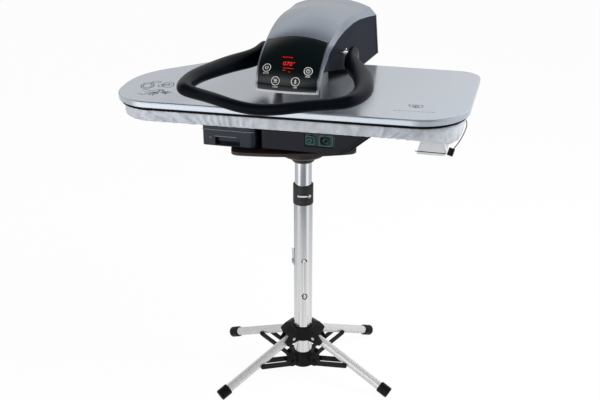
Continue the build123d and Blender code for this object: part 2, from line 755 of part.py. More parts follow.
# Guide pin that rides in the keyhole slot
with BuildPart() as guide_pin:
    with BuildSketch(outward_plane(FRONT, UPPER_TUBE_D / 2 - UPPER_TUBE_WALL - 2, KEYHOLE_Z)):
        Circle(GUIDE_PIN_D / 2)
    extrude(amount=LOWER_TUBE_D / 2 + GUIDE_PIN_PROUD - UPPER_TUBE_D / 2 + UPPER_TUBE_WALL + 2)
guide_pin.part.label = "guide_pin"
export_step(guide_pin.part, "parts/guide_pin.step")

# Turned head of the mast: collar, dished disc and riser in one
with BuildPart() as mast_flange:
    with BuildSketch(Plane.XZ):
        with BuildLine():
            Polyline(
                (UPPER_TUBE_D / 2, FLANGE_BOTTOM),
                (FLANGE_D / 2 - 3, FLANGE_BOTTOM),
                (FLANGE_D / 2, FLANGE_BOTTOM + 3),
                (FLANGE_D / 2, FLANGE_BOTTOM + 10),
                (FLANGE_D / 2 - 2, UPPER_TUBE_TOP),
                (DISC_D / 2 - 25, UPPER_TUBE_TOP + 4),
                (DISC_D / 2 - 7, UPPER_TUBE_TOP + 9),
                (DISC_D / 2, UPPER_TUBE_TOP + 15),
                (DISC_D / 2, UPPER_TUBE_TOP + 24),
                (DISC_D / 2 - 12, UPPER_TUBE_TOP + 27),
                (DISC_D / 2 - 14, PLATE_BOTTOM),
                (0, PLATE_BOTTOM),
                (0, UPPER_TUBE_TOP),
                (UPPER_TUBE_D / 2, UPPER_TUBE_TOP),
                close=True,
            )
        make_face()
    revolve(axis=Axis.Z)
    with BuildSketch(outward_plane(FRONT, FLANGE_D / 2 - 6, FLANGE_BOTTOM + 7)):
        Circle(3)
    extrude(amount=8)
mast_flange.part.label = "mast_flange"
export_step(mast_flange.part, "parts/mast_flange.step")

# Support plate: a pressed sheet with a turned-down rim, bowed at the front and the rear
def plate_outline(shrink):
    half = PLATE_L / 2 - shrink
    mid = PLATE_MID_HALF - shrink
    end = PLATE_END_HALF - shrink
    corner = PLATE_CORNER_R - shrink
    with BuildSketch() as face:
        with BuildLine():
            ThreePointArc((-half, -end), (0, -mid), (half, -end))
            Line((half, -end), (half, end))
            ThreePointArc((half, end), (0, mid), (-half, end))
            Line((-half, end), (-half, -end))
        make_face()
        fillet(face.vertices(), corner)
    return face.sketch


stand_top = Plane.XY.rotated((0, 0, STAND_TURN))
with BuildPart() as support_plate:
    with BuildSketch(stand_top.offset(PLATE_BOTTOM)):
        with Locations((PLATE_SHIFT, 0)):
            add(plate_outline(0))
    extrude(amount=PLATE_T)
    with BuildSketch(stand_top.offset(PLATE_BOTTOM)):
        with Locations((PLATE_SHIFT, 0)):
            add(plate_outline(5))
        Circle(DISC_D / 2 - 10, mode=Mode.SUBTRACT)
    extrude(amount=PLATE_T - PLATE_SHEET, mode=Mode.SUBTRACT)
support_plate.part.label = "support_plate"
export_step(support_plate.part, "parts/support_plate.step")

# Bolt heads that hold the plate on the mast
with BuildPart() as plate_bolts:
    with BuildSketch(stand_top.offset(PLATE_TOP)):
        with PolarLocations(PLATE_BOLT_R, 4, start_angle=45):
            RegularPolygon(BOLT_HEAD_R, 6)
    extrude(amount=BOLT_HEAD_H)
plate_bolts.part.label = "plate_bolts"
export_step(plate_bolts.part, "parts/plate_bolts.step")

# Housing of the base: a body with a flared right side and a tray over the tank bay
housing_profile = [
    (HOUSING_LEFT, HOUSING_BOTTOM),
    (HOUSING_RIGHT, HOUSING_BOTTOM),
    (HOUSING_RIGHT_TOP, TRAY_Z),
    (HOUSING_RIGHT_TOP, CLOTH_BOTTOM),
    (TRAY_LEFT, CLOTH_BOTTOM),
    (TRAY_LEFT, TRAY_Z),
    (HOUSING_LEFT, TRAY_Z),
]
inner_profile = [
    (HOUSING_LEFT + HOUSING_WALL, HOUSING_BOTTOM - 1),
    (HOUSING_RIGHT - HOUSING_WALL - 1, HOUSING_BOTTOM - 1),
    (HOUSING_RIGHT_TOP - HOUSING_WALL - 2, TRAY_Z),
    (HOUSING_RIGHT_TOP - HOUSING_WALL - 2, CLOTH_BOTTOM - HOUSING_WALL),
    (HOUSING_LEFT + HOUSING_WALL, CLOTH_BOTTOM - HOUSING_WALL),
]
with BuildPart() as base_housing:
    with BuildSketch(Plane.XZ.offset(-HOUSING_REAR)):
        with BuildLine():
            Polyline(*housing_profile, close=True)
        make_face()
    extrude(amount=HOUSING_REAR - HOUSING_FRONT)
    front_edges = base_housing.edges().group_by(Axis.Y)[0]
    slant = front_edges.sort_by(Axis.X)[-1:] + front_edges.filter_by(
        lambda e: HOUSING_RIGHT < e.center().X < HOUSING_RIGHT_TOP
    )
    fillet(slant.filter_by(lambda e: e.length > FLOOR_T), HOUSING_R)
    with BuildSketch(Plane.XY.offset(HOUSING_BOTTOM)):
        with Locations((BAY_X, (DOCK_Y + REAR_NARROW) / 2)):
            Rectangle(HOUSING_LEFT - TRAY_LEFT, REAR_NARROW - DOCK_Y)
    extrude(amount=TRAY_Z - HOUSING_BOTTOM + 1)
    for side_x in (TRAY_LEFT, HOUSING_RIGHT_TOP):
        with BuildSketch(Plane.XY.offset(HOUSING_BOTTOM - 10)):
            with Locations((side_x, HOUSING_REAR)):
                Rectangle(260, 2 * (HOUSING_REAR - REAR_NARROW))
        extrude(amount=200, mode=Mode.SUBTRACT)
    with BuildSketch(Plane.XZ.offset(-(REAR_NARROW - HOUSING_WALL))):
        with BuildLine():
            Polyline(*inner_profile, close=True)
        make_face()
    extrude(amount=REAR_NARROW - HOUSING_FRONT - 2 * HOUSING_WALL - 1, mode=Mode.SUBTRACT)
    with BuildSketch(Plane.XY.offset(HOUSING_BOTTOM - 1)):
        with Locations((BAY_X + 2, (DOCK_Y + REAR_NARROW) / 2)):
            Rectangle(HOUSING_LEFT - TRAY_LEFT - 8, REAR_NARROW - DOCK_Y - 2 * HOUSING_WALL)
    extrude(amount=TRAY_Z - HOUSING_BOTTOM, mode=Mode.SUBTRACT)
    with BuildSketch(Plane.XZ.offset(-HOUSING_FRONT)):
        with Locations(((BEZEL_X[0] + BEZEL_X[1]) / 2, (BEZEL_Z[0] + BEZEL_Z[1]) / 2)):
            RectangleRounded(BEZEL_X[1] - BEZEL_X[0], BEZEL_Z[1] - BEZEL_Z[0], 5)
    extrude(amount=-HOUSING_WALL * 4, mode=Mode.SUBTRACT)
    with BuildSketch(Plane.XZ.offset(-TANK_Y[1])):
        with Locations((TANK_MID_X, (RAIL_HEAD_Z[0] + TRAY_Z + 1) / 2)):
            Rectangle(RAIL_STEM_W, TRAY_Z + 1 - RAIL_HEAD_Z[0])
        with Locations((TANK_MID_X, (RAIL_HEAD_Z[0] + RAIL_HEAD_Z[1]) / 2)):
            Rectangle(RAIL_HEAD_W, RAIL_HEAD_Z[1] - RAIL_HEAD_Z[0])
    extrude(amount=TANK_Y[1] - TANK_Y[0] - 30)
    with BuildSketch(Plane.XY.offset(CLOTH_BOTTOM)):
        with Locations(((SEAT_X[0] + SEAT_X[1]) / 2, (SEAT_Y[0] + SEAT_Y[1]) / 2)):
            RectangleRounded(SEAT_X[1] - SEAT_X[0], SEAT_Y[1] - SEAT_Y[0], 20)
    extrude(amount=CLOTH_T)
    with BuildSketch(Plane.XZ.offset(-DOCK_Y)):
        with Locations((VALVE_X, VALVE_Z)):
            Circle(VALVE_D / 2 + 0.5)
    extrude(amount=-2 * HOUSING_WALL, mode=Mode.SUBTRACT)
base_housing.part.label = "base_housing"
export_step(base_housing.part, "parts/base_housing.step")

# Floor of the housing
with BuildPart() as bottom_cover:
    with BuildSketch(Plane.XY.offset(HOUSING_BOTTOM)):
        floor_x = (HOUSING_LEFT + HOUSING_WALL + FIT, HOUSING_RIGHT - HOUSING_WALL - 1 - FIT)
        floor_y = (HOUSING_FRONT + HOUSING_WALL + 1 + FIT, REAR_NARROW - HOUSING_WALL - FIT)
        with Locations(((floor_x[0] + floor_x[1]) / 2, (floor_y[0] + floor_y[1]) / 2)):
            Rectangle(floor_x[1] - floor_x[0], floor_y[1] - floor_y[0])
        with Locations((30, 150)):
            with GridLocations(12, 0, 9, 1):
                SlotOverall(60, 5, rotation=90, mode=Mode.SUBTRACT)
    extrude(amount=FLOOR_T)
bottom_cover.part.label = "bottom_cover"
export_step(bottom_cover.part, "parts/bottom_cover.step")

# Rubber feet between the housing and the support plate
with BuildPart() as rubber_feet:
    with BuildSketch(Plane.XY.offset(PLATE_TOP)):
        with Locations(*FOOT_SPOTS):
            Circle(FOOT_D / 2)
    extrude(amount=HOUSING_BOTTOM - PLATE_TOP, taper=6)
rubber_feet.part.label = "rubber_feet"
export_step(rubber_feet.part, "parts/rubber_feet.step")

# Bezel in the front recess, with the holes of the button and the socket
bezel_mid = ((BEZEL_X[0] + BEZEL_X[1]) / 2, (BEZEL_Z[0] + BEZEL_Z[1]) / 2)
with BuildPart() as switch_bezel:
    with BuildSketch(Plane.XZ.offset(-(HOUSING_FRONT + BEZEL_DEPTH))):
        with Locations(bezel_mid):
            RectangleRounded(BEZEL_X[1] - BEZEL_X[0], BEZEL_Z[1] - BEZEL_Z[0], 5)
        with Locations((BUTTON_X, BUTTON_Z)):
            Circle(BUTTON_D / 2 + SMALL, mode=Mode.SUBTRACT)
        with Locations((SOCKET_X, BUTTON_Z - 1)):
            RegularPolygon(SOCKET_R, 6, rotation=30, mode=Mode.SUBTRACT)
    extrude(amount=-BEZEL_T)
    with BuildSketch(Plane.XZ.offset(-(HOUSING_FRONT + BEZEL_DEPTH + BEZEL_T))):
        with Locations(bezel_mid):
            RectangleRounded(BEZEL_X[1] - BEZEL_X[0], BEZEL_Z[1] - BEZEL_Z[0], 5)
    extrude(amount=-4)
switch_bezel.part.label = "switch_bezel"
export_step(switch_bezel.part, "parts/switch_bezel.step")

# Push button, proud of the bezel by its travel
with BuildPart() as power_button:
    with BuildSketch(Plane.XZ.offset(-(HOUSING_FRONT + BEZEL_DEPTH - BUTTON_TRAVEL))):
        with Locations((BUTTON_X, BUTTON_Z)):
            Circle(BUTTON_D / 2)
    extrude(amount=-BEZEL_T + SMALL)
    fillet(power_button.edges().filter_by(GeomType.CIRCLE).sort_by(Axis.Y)[0], 1)
power_button.part.label = "power_button"
export_step(power_button.part, "parts/power_button.step")

# Six-sided outlet with a round core
with BuildPart() as accessory_socket:
    with BuildSketch(Plane.XZ.offset(-(HOUSING_FRONT + BEZEL_DEPTH - SOCKET_PROUD))):
        with Locations((SOCKET_X, BUTTON_Z - 1)):
            RegularPolygon(SOCKET_R - FIT, 6, rotation=30)
            RegularPolygon(SOCKET_R - SOCKET_WALL, 6, rotation=30, mode=Mode.SUBTRACT)
            Circle(SOCKET_CORE_R)
            Circle(SOCKET_BORE_R, mode=Mode.SUBTRACT)
    extrude(amount=-(BEZEL_T + SOCKET_PROUD))
    with BuildSketch(Plane.XZ.offset(-(HOUSING_FRONT + BEZEL_DEPTH + BEZEL_T))):
        with Locations((SOCKET_X, BUTTON_Z - 1)):
            RegularPolygon(SOCKET_R - FIT, 6, rotation=30)
    extrude(amount=1)
accessory_socket.part.label = "accessory_socket"
export_step(accessory_socket.part, "parts/accessory_socket.step")

# Steam boiler on two feet, lying inside the housing
with BuildPart() as steam_boiler:
    with BuildSketch(Plane.XZ.offset(-BOILER_Y[1])):
        with Locations(BOILER_SPOT):
            Circle(BOILER_R)
    extrude(amount=BOILER_Y[1] - BOILER_Y[0])
    fillet(steam_boiler.edges().filter_by(GeomType.CIRCLE), 8)
    with BuildSketch(Plane.XY.offset(HOUSING_BOTTOM + FLOOR_T)):
        with Locations(*[(BOILER_SPOT[0], y) for y in BOILER_FEET]):
            Rectangle(40, 8)
    extrude(amount=MACHINE_FOOT_H)
steam_boiler.part.label = "steam_boiler"
export_step(steam_boiler.part, "parts/steam_boiler.step")

# Water pump on its base
with BuildPart() as water_pump:
    with BuildSketch(Plane.XY.offset(HOUSING_BOTTOM + FLOOR_T)):
        with Locations((PUMP_SPOT[0], (PUMP_Y[0] + PUMP_Y[1]) / 2)):
            RectangleRounded(*PUMP_BASE, 6)
    extrude(amount=MACHINE_FOOT_H)
    for start, end, radius in ((*PUMP_Y, PUMP_R), (PUMP_Y[0] - 15, PUMP_Y[1] + 15, PUMP_PIPE_R)):
        with BuildSketch(Plane.XZ.offset(-end)):
            with Locations(PUMP_SPOT):
                Circle(radius)
        extrude(amount=end - start)
water_pump.part.label = "water_pump"
export_step(water_pump.part, "parts/water_pump.step")

# Water tank: a clear box with a finger recess in its front
tank_centre = ((TANK_X[0] + TANK_X[1]) / 2, (TANK_Y[0] + TANK_Y[1]) / 2)
tank_size = (TANK_X[1] - TANK_X[0], TANK_Y[1] - TANK_Y[0])
grip_centre = (GRIP_X[0] + GRIP_X[1]) / 2
grip_width = GRIP_X[1] - GRIP_X[0]


def tank_plan(inset):
    """The tank from above, with a wide front right corner, drawn in by inset."""
    with BuildSketch() as outline:
        with Locations(tank_centre):
            Rectangle(tank_size[0] - 2 * inset, tank_size[1] - 2 * inset)
        fillet(outline.vertices().group_by(Axis.X)[-1].sort_by(Axis.Y)[0], TANK_R - inset)
        fillet(outline.vertices().group_by(Axis.X)[0], TANK_LEFT_R - inset)
    return outline.sketch


with BuildPart() as water_tank:
    with BuildSketch(Plane.XY.offset(TANK_BOTTOM)):
        add(tank_plan(0))
    extrude(amount=TANK_LID_Z - TANK_BOTTOM)
    fillet(water_tank.faces().sort_by(Axis.Z)[0].edges(), 3)
    with BuildSketch(Plane.XY.offset(TANK_BOTTOM + TANK_WALL)):
        add(tank_plan(TANK_WALL))
    extrude(amount=TANK_LID_Z - TANK_BOTTOM, mode=Mode.SUBTRACT)
    with BuildSketch(Plane.XY.offset(GRIP_BOTTOM - TANK_WALL)):
        with Locations((grip_centre, TANK_Y[0] + 1 + (GRIP_DEPTH + TANK_WALL) / 2)):
            Rectangle(grip_width + 2 * TANK_WALL, GRIP_DEPTH + TANK_WALL)
    extrude(amount=GRIP_TOP - GRIP_BOTTOM + 2 * TANK_WALL)
    with BuildSketch(Plane.XY.offset(GRIP_BOTTOM)):
        with Locations((grip_centre, TANK_Y[0] - 1 + GRIP_DEPTH / 2)):
            Rectangle(grip_width, GRIP_DEPTH + 2)
    extrude(amount=GRIP_TOP - GRIP_BOTTOM, mode=Mode.SUBTRACT)
water_tank.part.label = "water_tank"
export_step(water_tank.part, "parts/water_tank.step")

# Lid of the tank, with the slot that runs on the rail under the tray
with BuildPart() as tank_lid:
    with BuildSketch(Plane.XY.offset(TANK_LID_Z)):
        add(tank_plan(0))
    extrude(amount=TANK_TOP - TANK_LID_Z)
    fillet(tank_lid.faces().sort_by(Axis.Z)[-1].edges(), 2)
    with BuildSketch(Plane.XZ.offset(-(TANK_Y[1] + 1))):
        with Locations((TANK_MID_X, TANK_TOP)):
            Rectangle(RAIL_STEM_W + 1, 2 * (TANK_TOP - RAIL_HEAD_Z[1]))
        with Locations((TANK_MID_X, (RAIL_HEAD_Z[0] + RAIL_HEAD_Z[1]) / 2)):
            Rectangle(RAIL_HEAD_W + 1, RAIL_HEAD_Z[1] - RAIL_HEAD_Z[0] + 1)
    extrude(amount=TANK_Y[1] - TANK_Y[0] - 26, mode=Mode.SUBTRACT)
tank_lid.part.label = "tank_lid"
export_step(tank_lid.part, "parts/tank_lid.step")

# Outlet valve at the rear of the tank
with BuildPart() as tank_valve:
    with BuildSketch(Plane.XZ.offset(-TANK_Y[1])):
        with Locations((VALVE_X, VALVE_Z)):
            Circle(VALVE_FLANGE_R)
    extrude(amount=-VALVE_FLANGE_T)
    with BuildSketch(Plane.XZ.offset(-(TANK_Y[1] + VALVE_FLANGE_T))):
        with Locations((VALVE_X, VALVE_Z)):
            Circle(VALVE_D / 2)
    extrude(amount=-(DOCK_Y - TANK_Y[1] + VALVE_FLANGE_T))
tank_valve.part.label = "tank_valve"
export_step(tank_valve.part, "parts/tank_valve.step")

# Pan under the board: a sheet with a turned-up lip
with BuildPart() as board_pan:
    with BuildSketch(Plane.XY.offset(CLOTH_BOTTOM + CLOTH_T)):
        add(plan(PAN_INSET))
    extrude(amount=PAN_LIP_H)
    with BuildSketch(Plane.XY.offset(CLOTH_BOTTOM + CLOTH_T + PAN_T)):
        add(plan(PAN_INSET + PAN_T))
    extrude(amount=PAN_LIP_H, mode=Mode.SUBTRACT)
board_pan.part.label = "board_pan"
export_step(board_pan.part, "parts/board_pan.step")

# Foam pad in the pan
with BuildPart() as pad_foam:
    with BuildSketch(Plane.XY.offset(CLOTH_BOTTOM + CLOTH_T + PAN_T)):
        add(plan(PAN_INSET + PAN_T + 0.5))
    extrude(amount=CLOTH_TOP - CLOTH_BOTTOM - 2 * CLOTH_T - PAN_T)
    fillet(pad_foam.faces().sort_by(Axis.Z)[-1].edges(), 4)
pad_foam.part.label = "pad_foam"
export_step(pad_foam.part, "parts/pad_foam.step")

# Cloth cover, pulled over the pad and hemmed under the pan
with BuildPart() as board_cover:
    with BuildSketch(Plane.XY.offset(CLOTH_BOTTOM)):
        add(plan(CLOTH_INSET))
    extrude(amount=CLOTH_TOP - CLOTH_BOTTOM)
    fillet(board_cover.faces().sort_by(Axis.Z)[-1].edges(), 5)
    fillet(board_cover.faces().sort_by(Axis.Z)[0].edges(), 5)
    with BuildSketch(Plane.XY.offset(CLOTH_BOTTOM + CLOTH_T)):
        add(plan(CLOTH_INSET + CLOTH_T))
    extrude(amount=CLOTH_TOP - CLOTH_BOTTOM - 2 * CLOTH_T, mode=Mode.SUBTRACT)
    with BuildSketch(Plane.XY.offset(CLOTH_BOTTOM - 1)):
        add(plan(CLOTH_INSET + HEM_W))
    extrude(amount=CLOTH_T + 2, mode=Mode.SUBTRACT)
board_cover.part.label = "board_cover"
export_step(board_cover.part, "parts/board_cover.step")

# Holder under the right corner of the board, bolted to the pan
with BuildPart() as rest_bracket:
    with BuildSketch(Plane.XZ.offset(-REST_Y[1])):
        with BuildLine():
            Polyline(
                (REST_X[0], REST_BOTTOM),
                (REST_X[0], REST_BOTTOM + 8),
                (REST_X[0] + 20, REST_TOP),
                (REST_X[1] - 6, REST_TOP),
                (REST_X[1], REST_TOP - 14),
                (REST_X[1] + 4, REST_BOTTOM + 5),
                (REST_X[1] - 4, REST_BOTTOM),
                close=True,
            )
        make_face()
    extrude(amount=REST_Y[1] - REST_Y[0])
    with BuildSketch(Plane.XZ.offset(-REST_Y[0])):
        with Locations(((REST_X[0] + REST_X[1]) / 2 + 18, REST_TOP - 14)):
            Rectangle(28, 12)
    extrude(amount=2)
    with BuildSketch(Plane.XY.offset(REST_TOP)):
        with Locations(REST_STUD):
            RectangleRounded(30, 40, 4)
    extrude(amount=CLOTH_BOTTOM + CLOTH_T - REST_TOP)
rest_bracket.part.label = "rest_bracket"
export_step(rest_bracket.part, "parts/rest_bracket.step")

# Cord of the cover's hem: out of the hem, along the corner and into the cord lock
cord_run = [CORD_EXIT] + CORD_POINTS
runs = [Vector(*b) - Vector(*a) for a, b in zip(cord_run, cord_run[1:])]
cord_radii = [
    CORD_ARC_SHARE * min(a.length, b.length) / tan(radians(a.get_angle(b) / 2)) for a, b in zip(runs, runs[1:])
]
print("cord radii", [round(r, 1) for r in cord_radii])
with BuildPart() as drawcord:
    with BuildLine():
        FilletPolyline(*cord_run, radius=cord_radii)
    with BuildSketch(Plane(origin=CORD_EXIT, z_dir=runs[0])):
        Circle(CORD_D / 2)
    sweep()
drawcord.part.label = "drawcord"
export_step(drawcord.part, "parts/drawcord.step")

# Cord lock, a short barrel with a push stem, held against the holder
lock_end = Vector(*CORD_POINTS[-1])
with BuildPart() as cord_lock:
    with BuildSketch(Plane(origin=lock_end, z_dir=(0.25, 0.35, 0.9))):
        Circle(LOCK_D / 2)
    extrude(amount=LOCK_L / 2, both=True)
    fillet(cord_lock.edges().filter_by(GeomType.CIRCLE), 2)
    add(drawcord.part, mode=Mode.SUBTRACT)
    add(rest_bracket.part, mode=Mode.SUBTRACT)
cord_lock.part.label = "cord_lock"
export_step(cord_lock.part, "parts/cord_lock.step")

# Heated plate with its steam holes and the bosses that carry the cover
with BuildPart() as heating_plate:
    with BuildSketch(Plane.XY.offset(HOT_PLATE_BOTTOM)):
        add(plan(HOT_PLATE_INSET))
    extrude(amount=HOT_PLATE_T)
    fillet(heating_plate.faces().sort_by(Axis.Z)[0].edges(), 2)
    with BuildSketch(Plane.XY.offset(HOT_PLATE_BOTTOM + HOT_PLATE_FLOOR)):
        add(plan(MAT_INSET))
        with Locations(PLATE_MID):
            with GridLocations(RIB_STEP[0], 0, 5, 1):
                Rectangle(HOT_PLATE_RIB, 600, mode=Mode.SUBTRACT)
            with GridLocations(0, RIB_STEP[1], 1, 2):
                Rectangle(1200, HOT_PLATE_RIB, mode=Mode.SUBTRACT)
    extrude(amount=HOT_PLATE_T, mode=Mode.SUBTRACT)
    with BuildSketch(Plane.XY.offset(HOT_PLATE_BOTTOM + HOT_PLATE_FLOOR)):
        with Locations(*BOSS_SPOTS):
            Circle(BOSS_D / 2)
    extrude(amount=COVER_UNDER - HOT_PLATE_BOTTOM - HOT_PLATE_FLOOR)
    with BuildSketch(Plane.XY.offset(HOT_PLATE_BOTTOM)):
        with Locations(PLATE_MID):
            with GridLocations(RIB_STEP[0], RIB_STEP[1], 6, 3):
                Circle(STEAM_HOLE_D / 2)
    extrude(amount=HOT_PLATE_FLOOR, mode=Mode.SUBTRACT)
heating_plate.part.label = "heating_plate"
export_step(heating_plate.part, "parts/heating_plate.step")

# Insulation mat on the heated plate
with BuildPart() as plate_insulation:
    with BuildSketch(Plane.XY.offset(HOT_PLATE_TOP)):
        add(plan(MAT_INSET))
        with Locations(*BOSS_SPOTS):
            Circle(BOSS_D / 2 + MAT_CLEAR, mode=Mode.SUBTRACT)
    extrude(amount=MAT_T)
plate_insulation.part.label = "plate_insulation"
export_step(plate_insulation.part, "parts/plate_insulation.step")

# Silver cover of the pressing plate
with BuildPart() as plate_cover:
    with BuildSketch(Plane.XY.offset(COVER_TOP - RIM_H)):
        add(plan(0))
    extrude(amount=RIM_H)
    fillet(plate_cover.faces().sort_by(Axis.Z)[-1].edges(), RIM_EDGE_R)
    fillet(plate_cover.faces().sort_by(Axis.Z)[0].edges(), 1.5)
    with BuildSketch(Plane.XY.offset(COVER_TOP - RIM_H)):
        add(plan(COVER_SKIN))
    extrude(amount=RIM_H - COVER_SKIN, mode=Mode.SUBTRACT)
plate_cover.part.label = "plate_cover"
export_step(plate_cover.part, "parts/plate_cover.step")

# Rear column that carries the hinge: a box with a rounded top
with BuildPart() as rear_column:
    with BuildSketch(Plane(origin=(HEAD_X, 0, 0), x_dir=(0, 1, 0), z_dir=(1, 0, 0))):
        with Locations((HINGE_Y, HINGE_Z)):
            Circle(COLUMN_R)
        with Locations((HINGE_Y, (CLOTH_BOTTOM + HINGE_Z) / 2)):
            Rectangle(2 * COLUMN_R, HINGE_Z - CLOTH_BOTTOM)
        with Locations((HINGE_Y, HINGE_Z)):
            Circle(HINGE_SHAFT_D / 2 + FIT, mode=Mode.SUBTRACT)
    extrude(amount=COLUMN_HALF_W, both=True)
    with BuildSketch(Plane.XY.offset(CLOTH_BOTTOM)):
        with Locations((HEAD_X, HINGE_Y)):
            Rectangle(2 * (COLUMN_HALF_W - COLUMN_WALL), 2 * (COLUMN_R - COLUMN_WALL))
    extrude(amount=HINGE_Z - HINGE_SHAFT_D - CLOTH_BOTTOM, mode=Mode.SUBTRACT)
rear_column.part.label = "rear_column"
export_step(rear_column.part, "parts/rear_column.step")

# Hinge shaft through the column and both frame plates
with BuildPart() as hinge_shaft:
    with BuildSketch(Plane.YZ.offset(HEAD_X)):
        with Locations((HINGE_Y, HINGE_Z)):
            Circle(HINGE_SHAFT_D / 2)
    extrude(amount=FRAME_OUT + SHAFT_END, both=True)
    chamfer(hinge_shaft.edges().filter_by(GeomType.CIRCLE), 1)
hinge_shaft.part.label = "hinge_shaft"
export_step(hinge_shaft.part, "parts/hinge_shaft.step")

# Bracket that carries the pressing plate
bracket_mid = (BRACKET_Y[0] + BRACKET_Y[1]) / 2
bracket_depth = BRACKET_Y[1] - BRACKET_Y[0]
with BuildPart() as plate_bracket:
    with BuildSketch(Plane.XY.offset(COVER_TOP)):
        with Locations((HEAD_X, bracket_mid)):
            RectangleRounded(2 * BRACKET_HALF_W, bracket_depth, 10)
    extrude(amount=BRACKET_TOP - COVER_TOP)
    with BuildSketch(Plane.XY.offset(COVER_TOP + BRACKET_WALL)):
        with Locations((HEAD_X, bracket_mid)):
            RectangleRounded(2 * (BRACKET_HALF_W - BRACKET_WALL), bracket_depth - 2 * BRACKET_WALL, 4)
    extrude(amount=BRACKET_TOP - COVER_TOP, mode=Mode.SUBTRACT)
plate_bracket.part.label = "plate_bracket"
export_step(plate_bracket.part, "parts/plate_bracket.step")

# Frame of the arm: two plates, the seat of the bracket and a cross tube, welded in one
frame_profile = [
    (HINGE_Y, HINGE_Z + FRAME_EYE_R),
    (240.0, 1088.0),
    (HANDLE_Y, HANDLE_SHAFT_Z + 18.0),
    (BRACKET_Y[0] - 10.0, HANDLE_SHAFT_Z + 6.0),
    (BRACKET_Y[0] - 10.0, BRACKET_TOP),
    (BRACKET_Y[1], BRACKET_TOP),
    (HINGE_Y - COLUMN_R - COLUMN_CLEAR + 2, HEAD_FLOOR + BASE_SHEET + 1),
    (HINGE_Y, HINGE_Z - FRAME_EYE_R),
]
with BuildPart() as arm_frame:
    for side in (-1, 1):
        with BuildSketch(Plane.YZ.offset(HEAD_X + side * FRAME_IN)):
            with BuildLine():
                Polyline(*frame_profile, close=True)
            make_face()
            with Locations((HINGE_Y, HINGE_Z)):
                Circle(FRAME_EYE_R)
                Circle(HINGE_SHAFT_D / 2, mode=Mode.SUBTRACT)
            with Locations((HANDLE_Y, HANDLE_SHAFT_Z)):
                Circle(HANDLE_SHAFT_D / 2 + FIT, mode=Mode.SUBTRACT)
        extrude(amount=side * FRAME_T)
    with BuildSketch(Plane.XY.offset(BRACKET_TOP)):
        with Locations((HEAD_X, bracket_mid)):
            Rectangle(2 * FRAME_IN, bracket_depth)
    extrude(amount=FRAME_T)
    with BuildSketch(Plane.YZ.offset(HEAD_X)):
        with Locations(CROSS_TUBE):
            Circle(CROSS_TUBE_R)
            Circle(CROSS_TUBE_R - CROSS_TUBE_WALL, mode=Mode.SUBTRACT)
    extrude(amount=FRAME_IN, both=True)
arm_frame.part.label = "arm_frame"
export_step(arm_frame.part, "parts/arm_frame.step")

# Silver shell of the head: top, side bands and rear wall
rear_skin = HEAD_BACK[-1][0] - SHELL_T
side_line = [
    (HEAD_BACK[1][0] - SHELL_T, BAND_REAR_Z),
    (HEAD_BACK[2][0] - SHELL_T, HEAD_BACK[2][1]),
    (rear_skin, HEAD_FLOOR),
]
open_side = BAND_EDGE + side_line + [(rear_skin, HEAD_FLOOR - 40), (BAND_EDGE[0][0], HEAD_FLOOR - 40)]
with BuildPart() as arm_shell:
    add(head_core(0))
    add(nose_block(0, 0))
    add(head_core(SHELL_T), mode=Mode.SUBTRACT)
    add(nose_block(SHELL_T, 20, NOSE_CUT), mode=Mode.SUBTRACT)
    add(side_region(open_side, HEAD_SLAB), mode=Mode.SUBTRACT)
    split(bisect_by=Plane.XY.offset(HEAD_FLOOR), keep=Keep.TOP)
arm_shell.part.label = "arm_shell"
export_step(arm_shell.part, "parts/arm_shell.step")

# Dark side covers, tucked behind the bands
tuck = [(y, z + BAND_TUCK) for y, z in BAND_EDGE]
side_outline = tuck + [(side_line[0][0], side_line[0][1] + BAND_TUCK)] + side_line[1:] + SIDE_FOOT[::-1]
for name, side in (("left", -1), ("right", 1)):
    with BuildPart() as side_cover:
        add(head_core(SHELL_T))
        add(nose_block(SHELL_T, -PANEL_T))
        add(head_block(SHELL_T + SIDE_T), mode=Mode.SUBTRACT)
        add(nose_block(SHELL_T + SIDE_T, 20, NOSE_CUT), mode=Mode.SUBTRACT)
        add(side_region(side_outline, HEAD_SLAB), mode=Mode.INTERSECT)
        split(bisect_by=Plane.YZ.offset(HEAD_X), keep=Keep.TOP if side > 0 else Keep.BOTTOM)
        with BuildSketch(Plane.YZ.offset(HEAD_X)):
            with Locations((HANDLE_Y, HANDLE_SHAFT_Z)):
                Circle(HANDLE_SHAFT_D / 2 + GAP)
        extrude(amount=side * HEAD_SLAB, mode=Mode.SUBTRACT)
    side_cover.part.label = "side_cover_" + name
    export_step(side_cover.part, "parts/side_cover_" + name + ".step")

# Underside of the head, with openings for the bracket and the column
foot_line = SIDE_FOOT + [(rear_skin, HEAD_FLOOR)]
foot_band = foot_line + [(y, z + BASE_SHEET) for y, z in reversed(foot_line)]
with BuildPart() as head_base:
    add(head_block(SHELL_T + SIDE_T))
    add(nose_block(SHELL_T + SIDE_T, -PANEL_T))
    add(side_region(foot_band, HEAD_SLAB), mode=Mode.INTERSECT)
    add(back_region(SHELL_T), mode=Mode.SUBTRACT)
    with BuildSketch(Plane.XY.offset(HEAD_FLOOR - 1)):
        with Locations((HEAD_X, bracket_mid)):
            Rectangle(2 * BRACKET_HALF_W + 2, bracket_depth + 2)
        with Locations((HEAD_X, HINGE_Y - COLUMN_R - COLUMN_CLEAR + 150)):
            Rectangle(2 * (FRAME_OUT + SHAFT_END + 2), 300)
    extrude(amount=HANDLE_SHAFT_Z - HEAD_FLOOR, mode=Mode.SUBTRACT)
head_base.part.label = "head_base"
export_step(head_base.part, "parts/head_base.step")

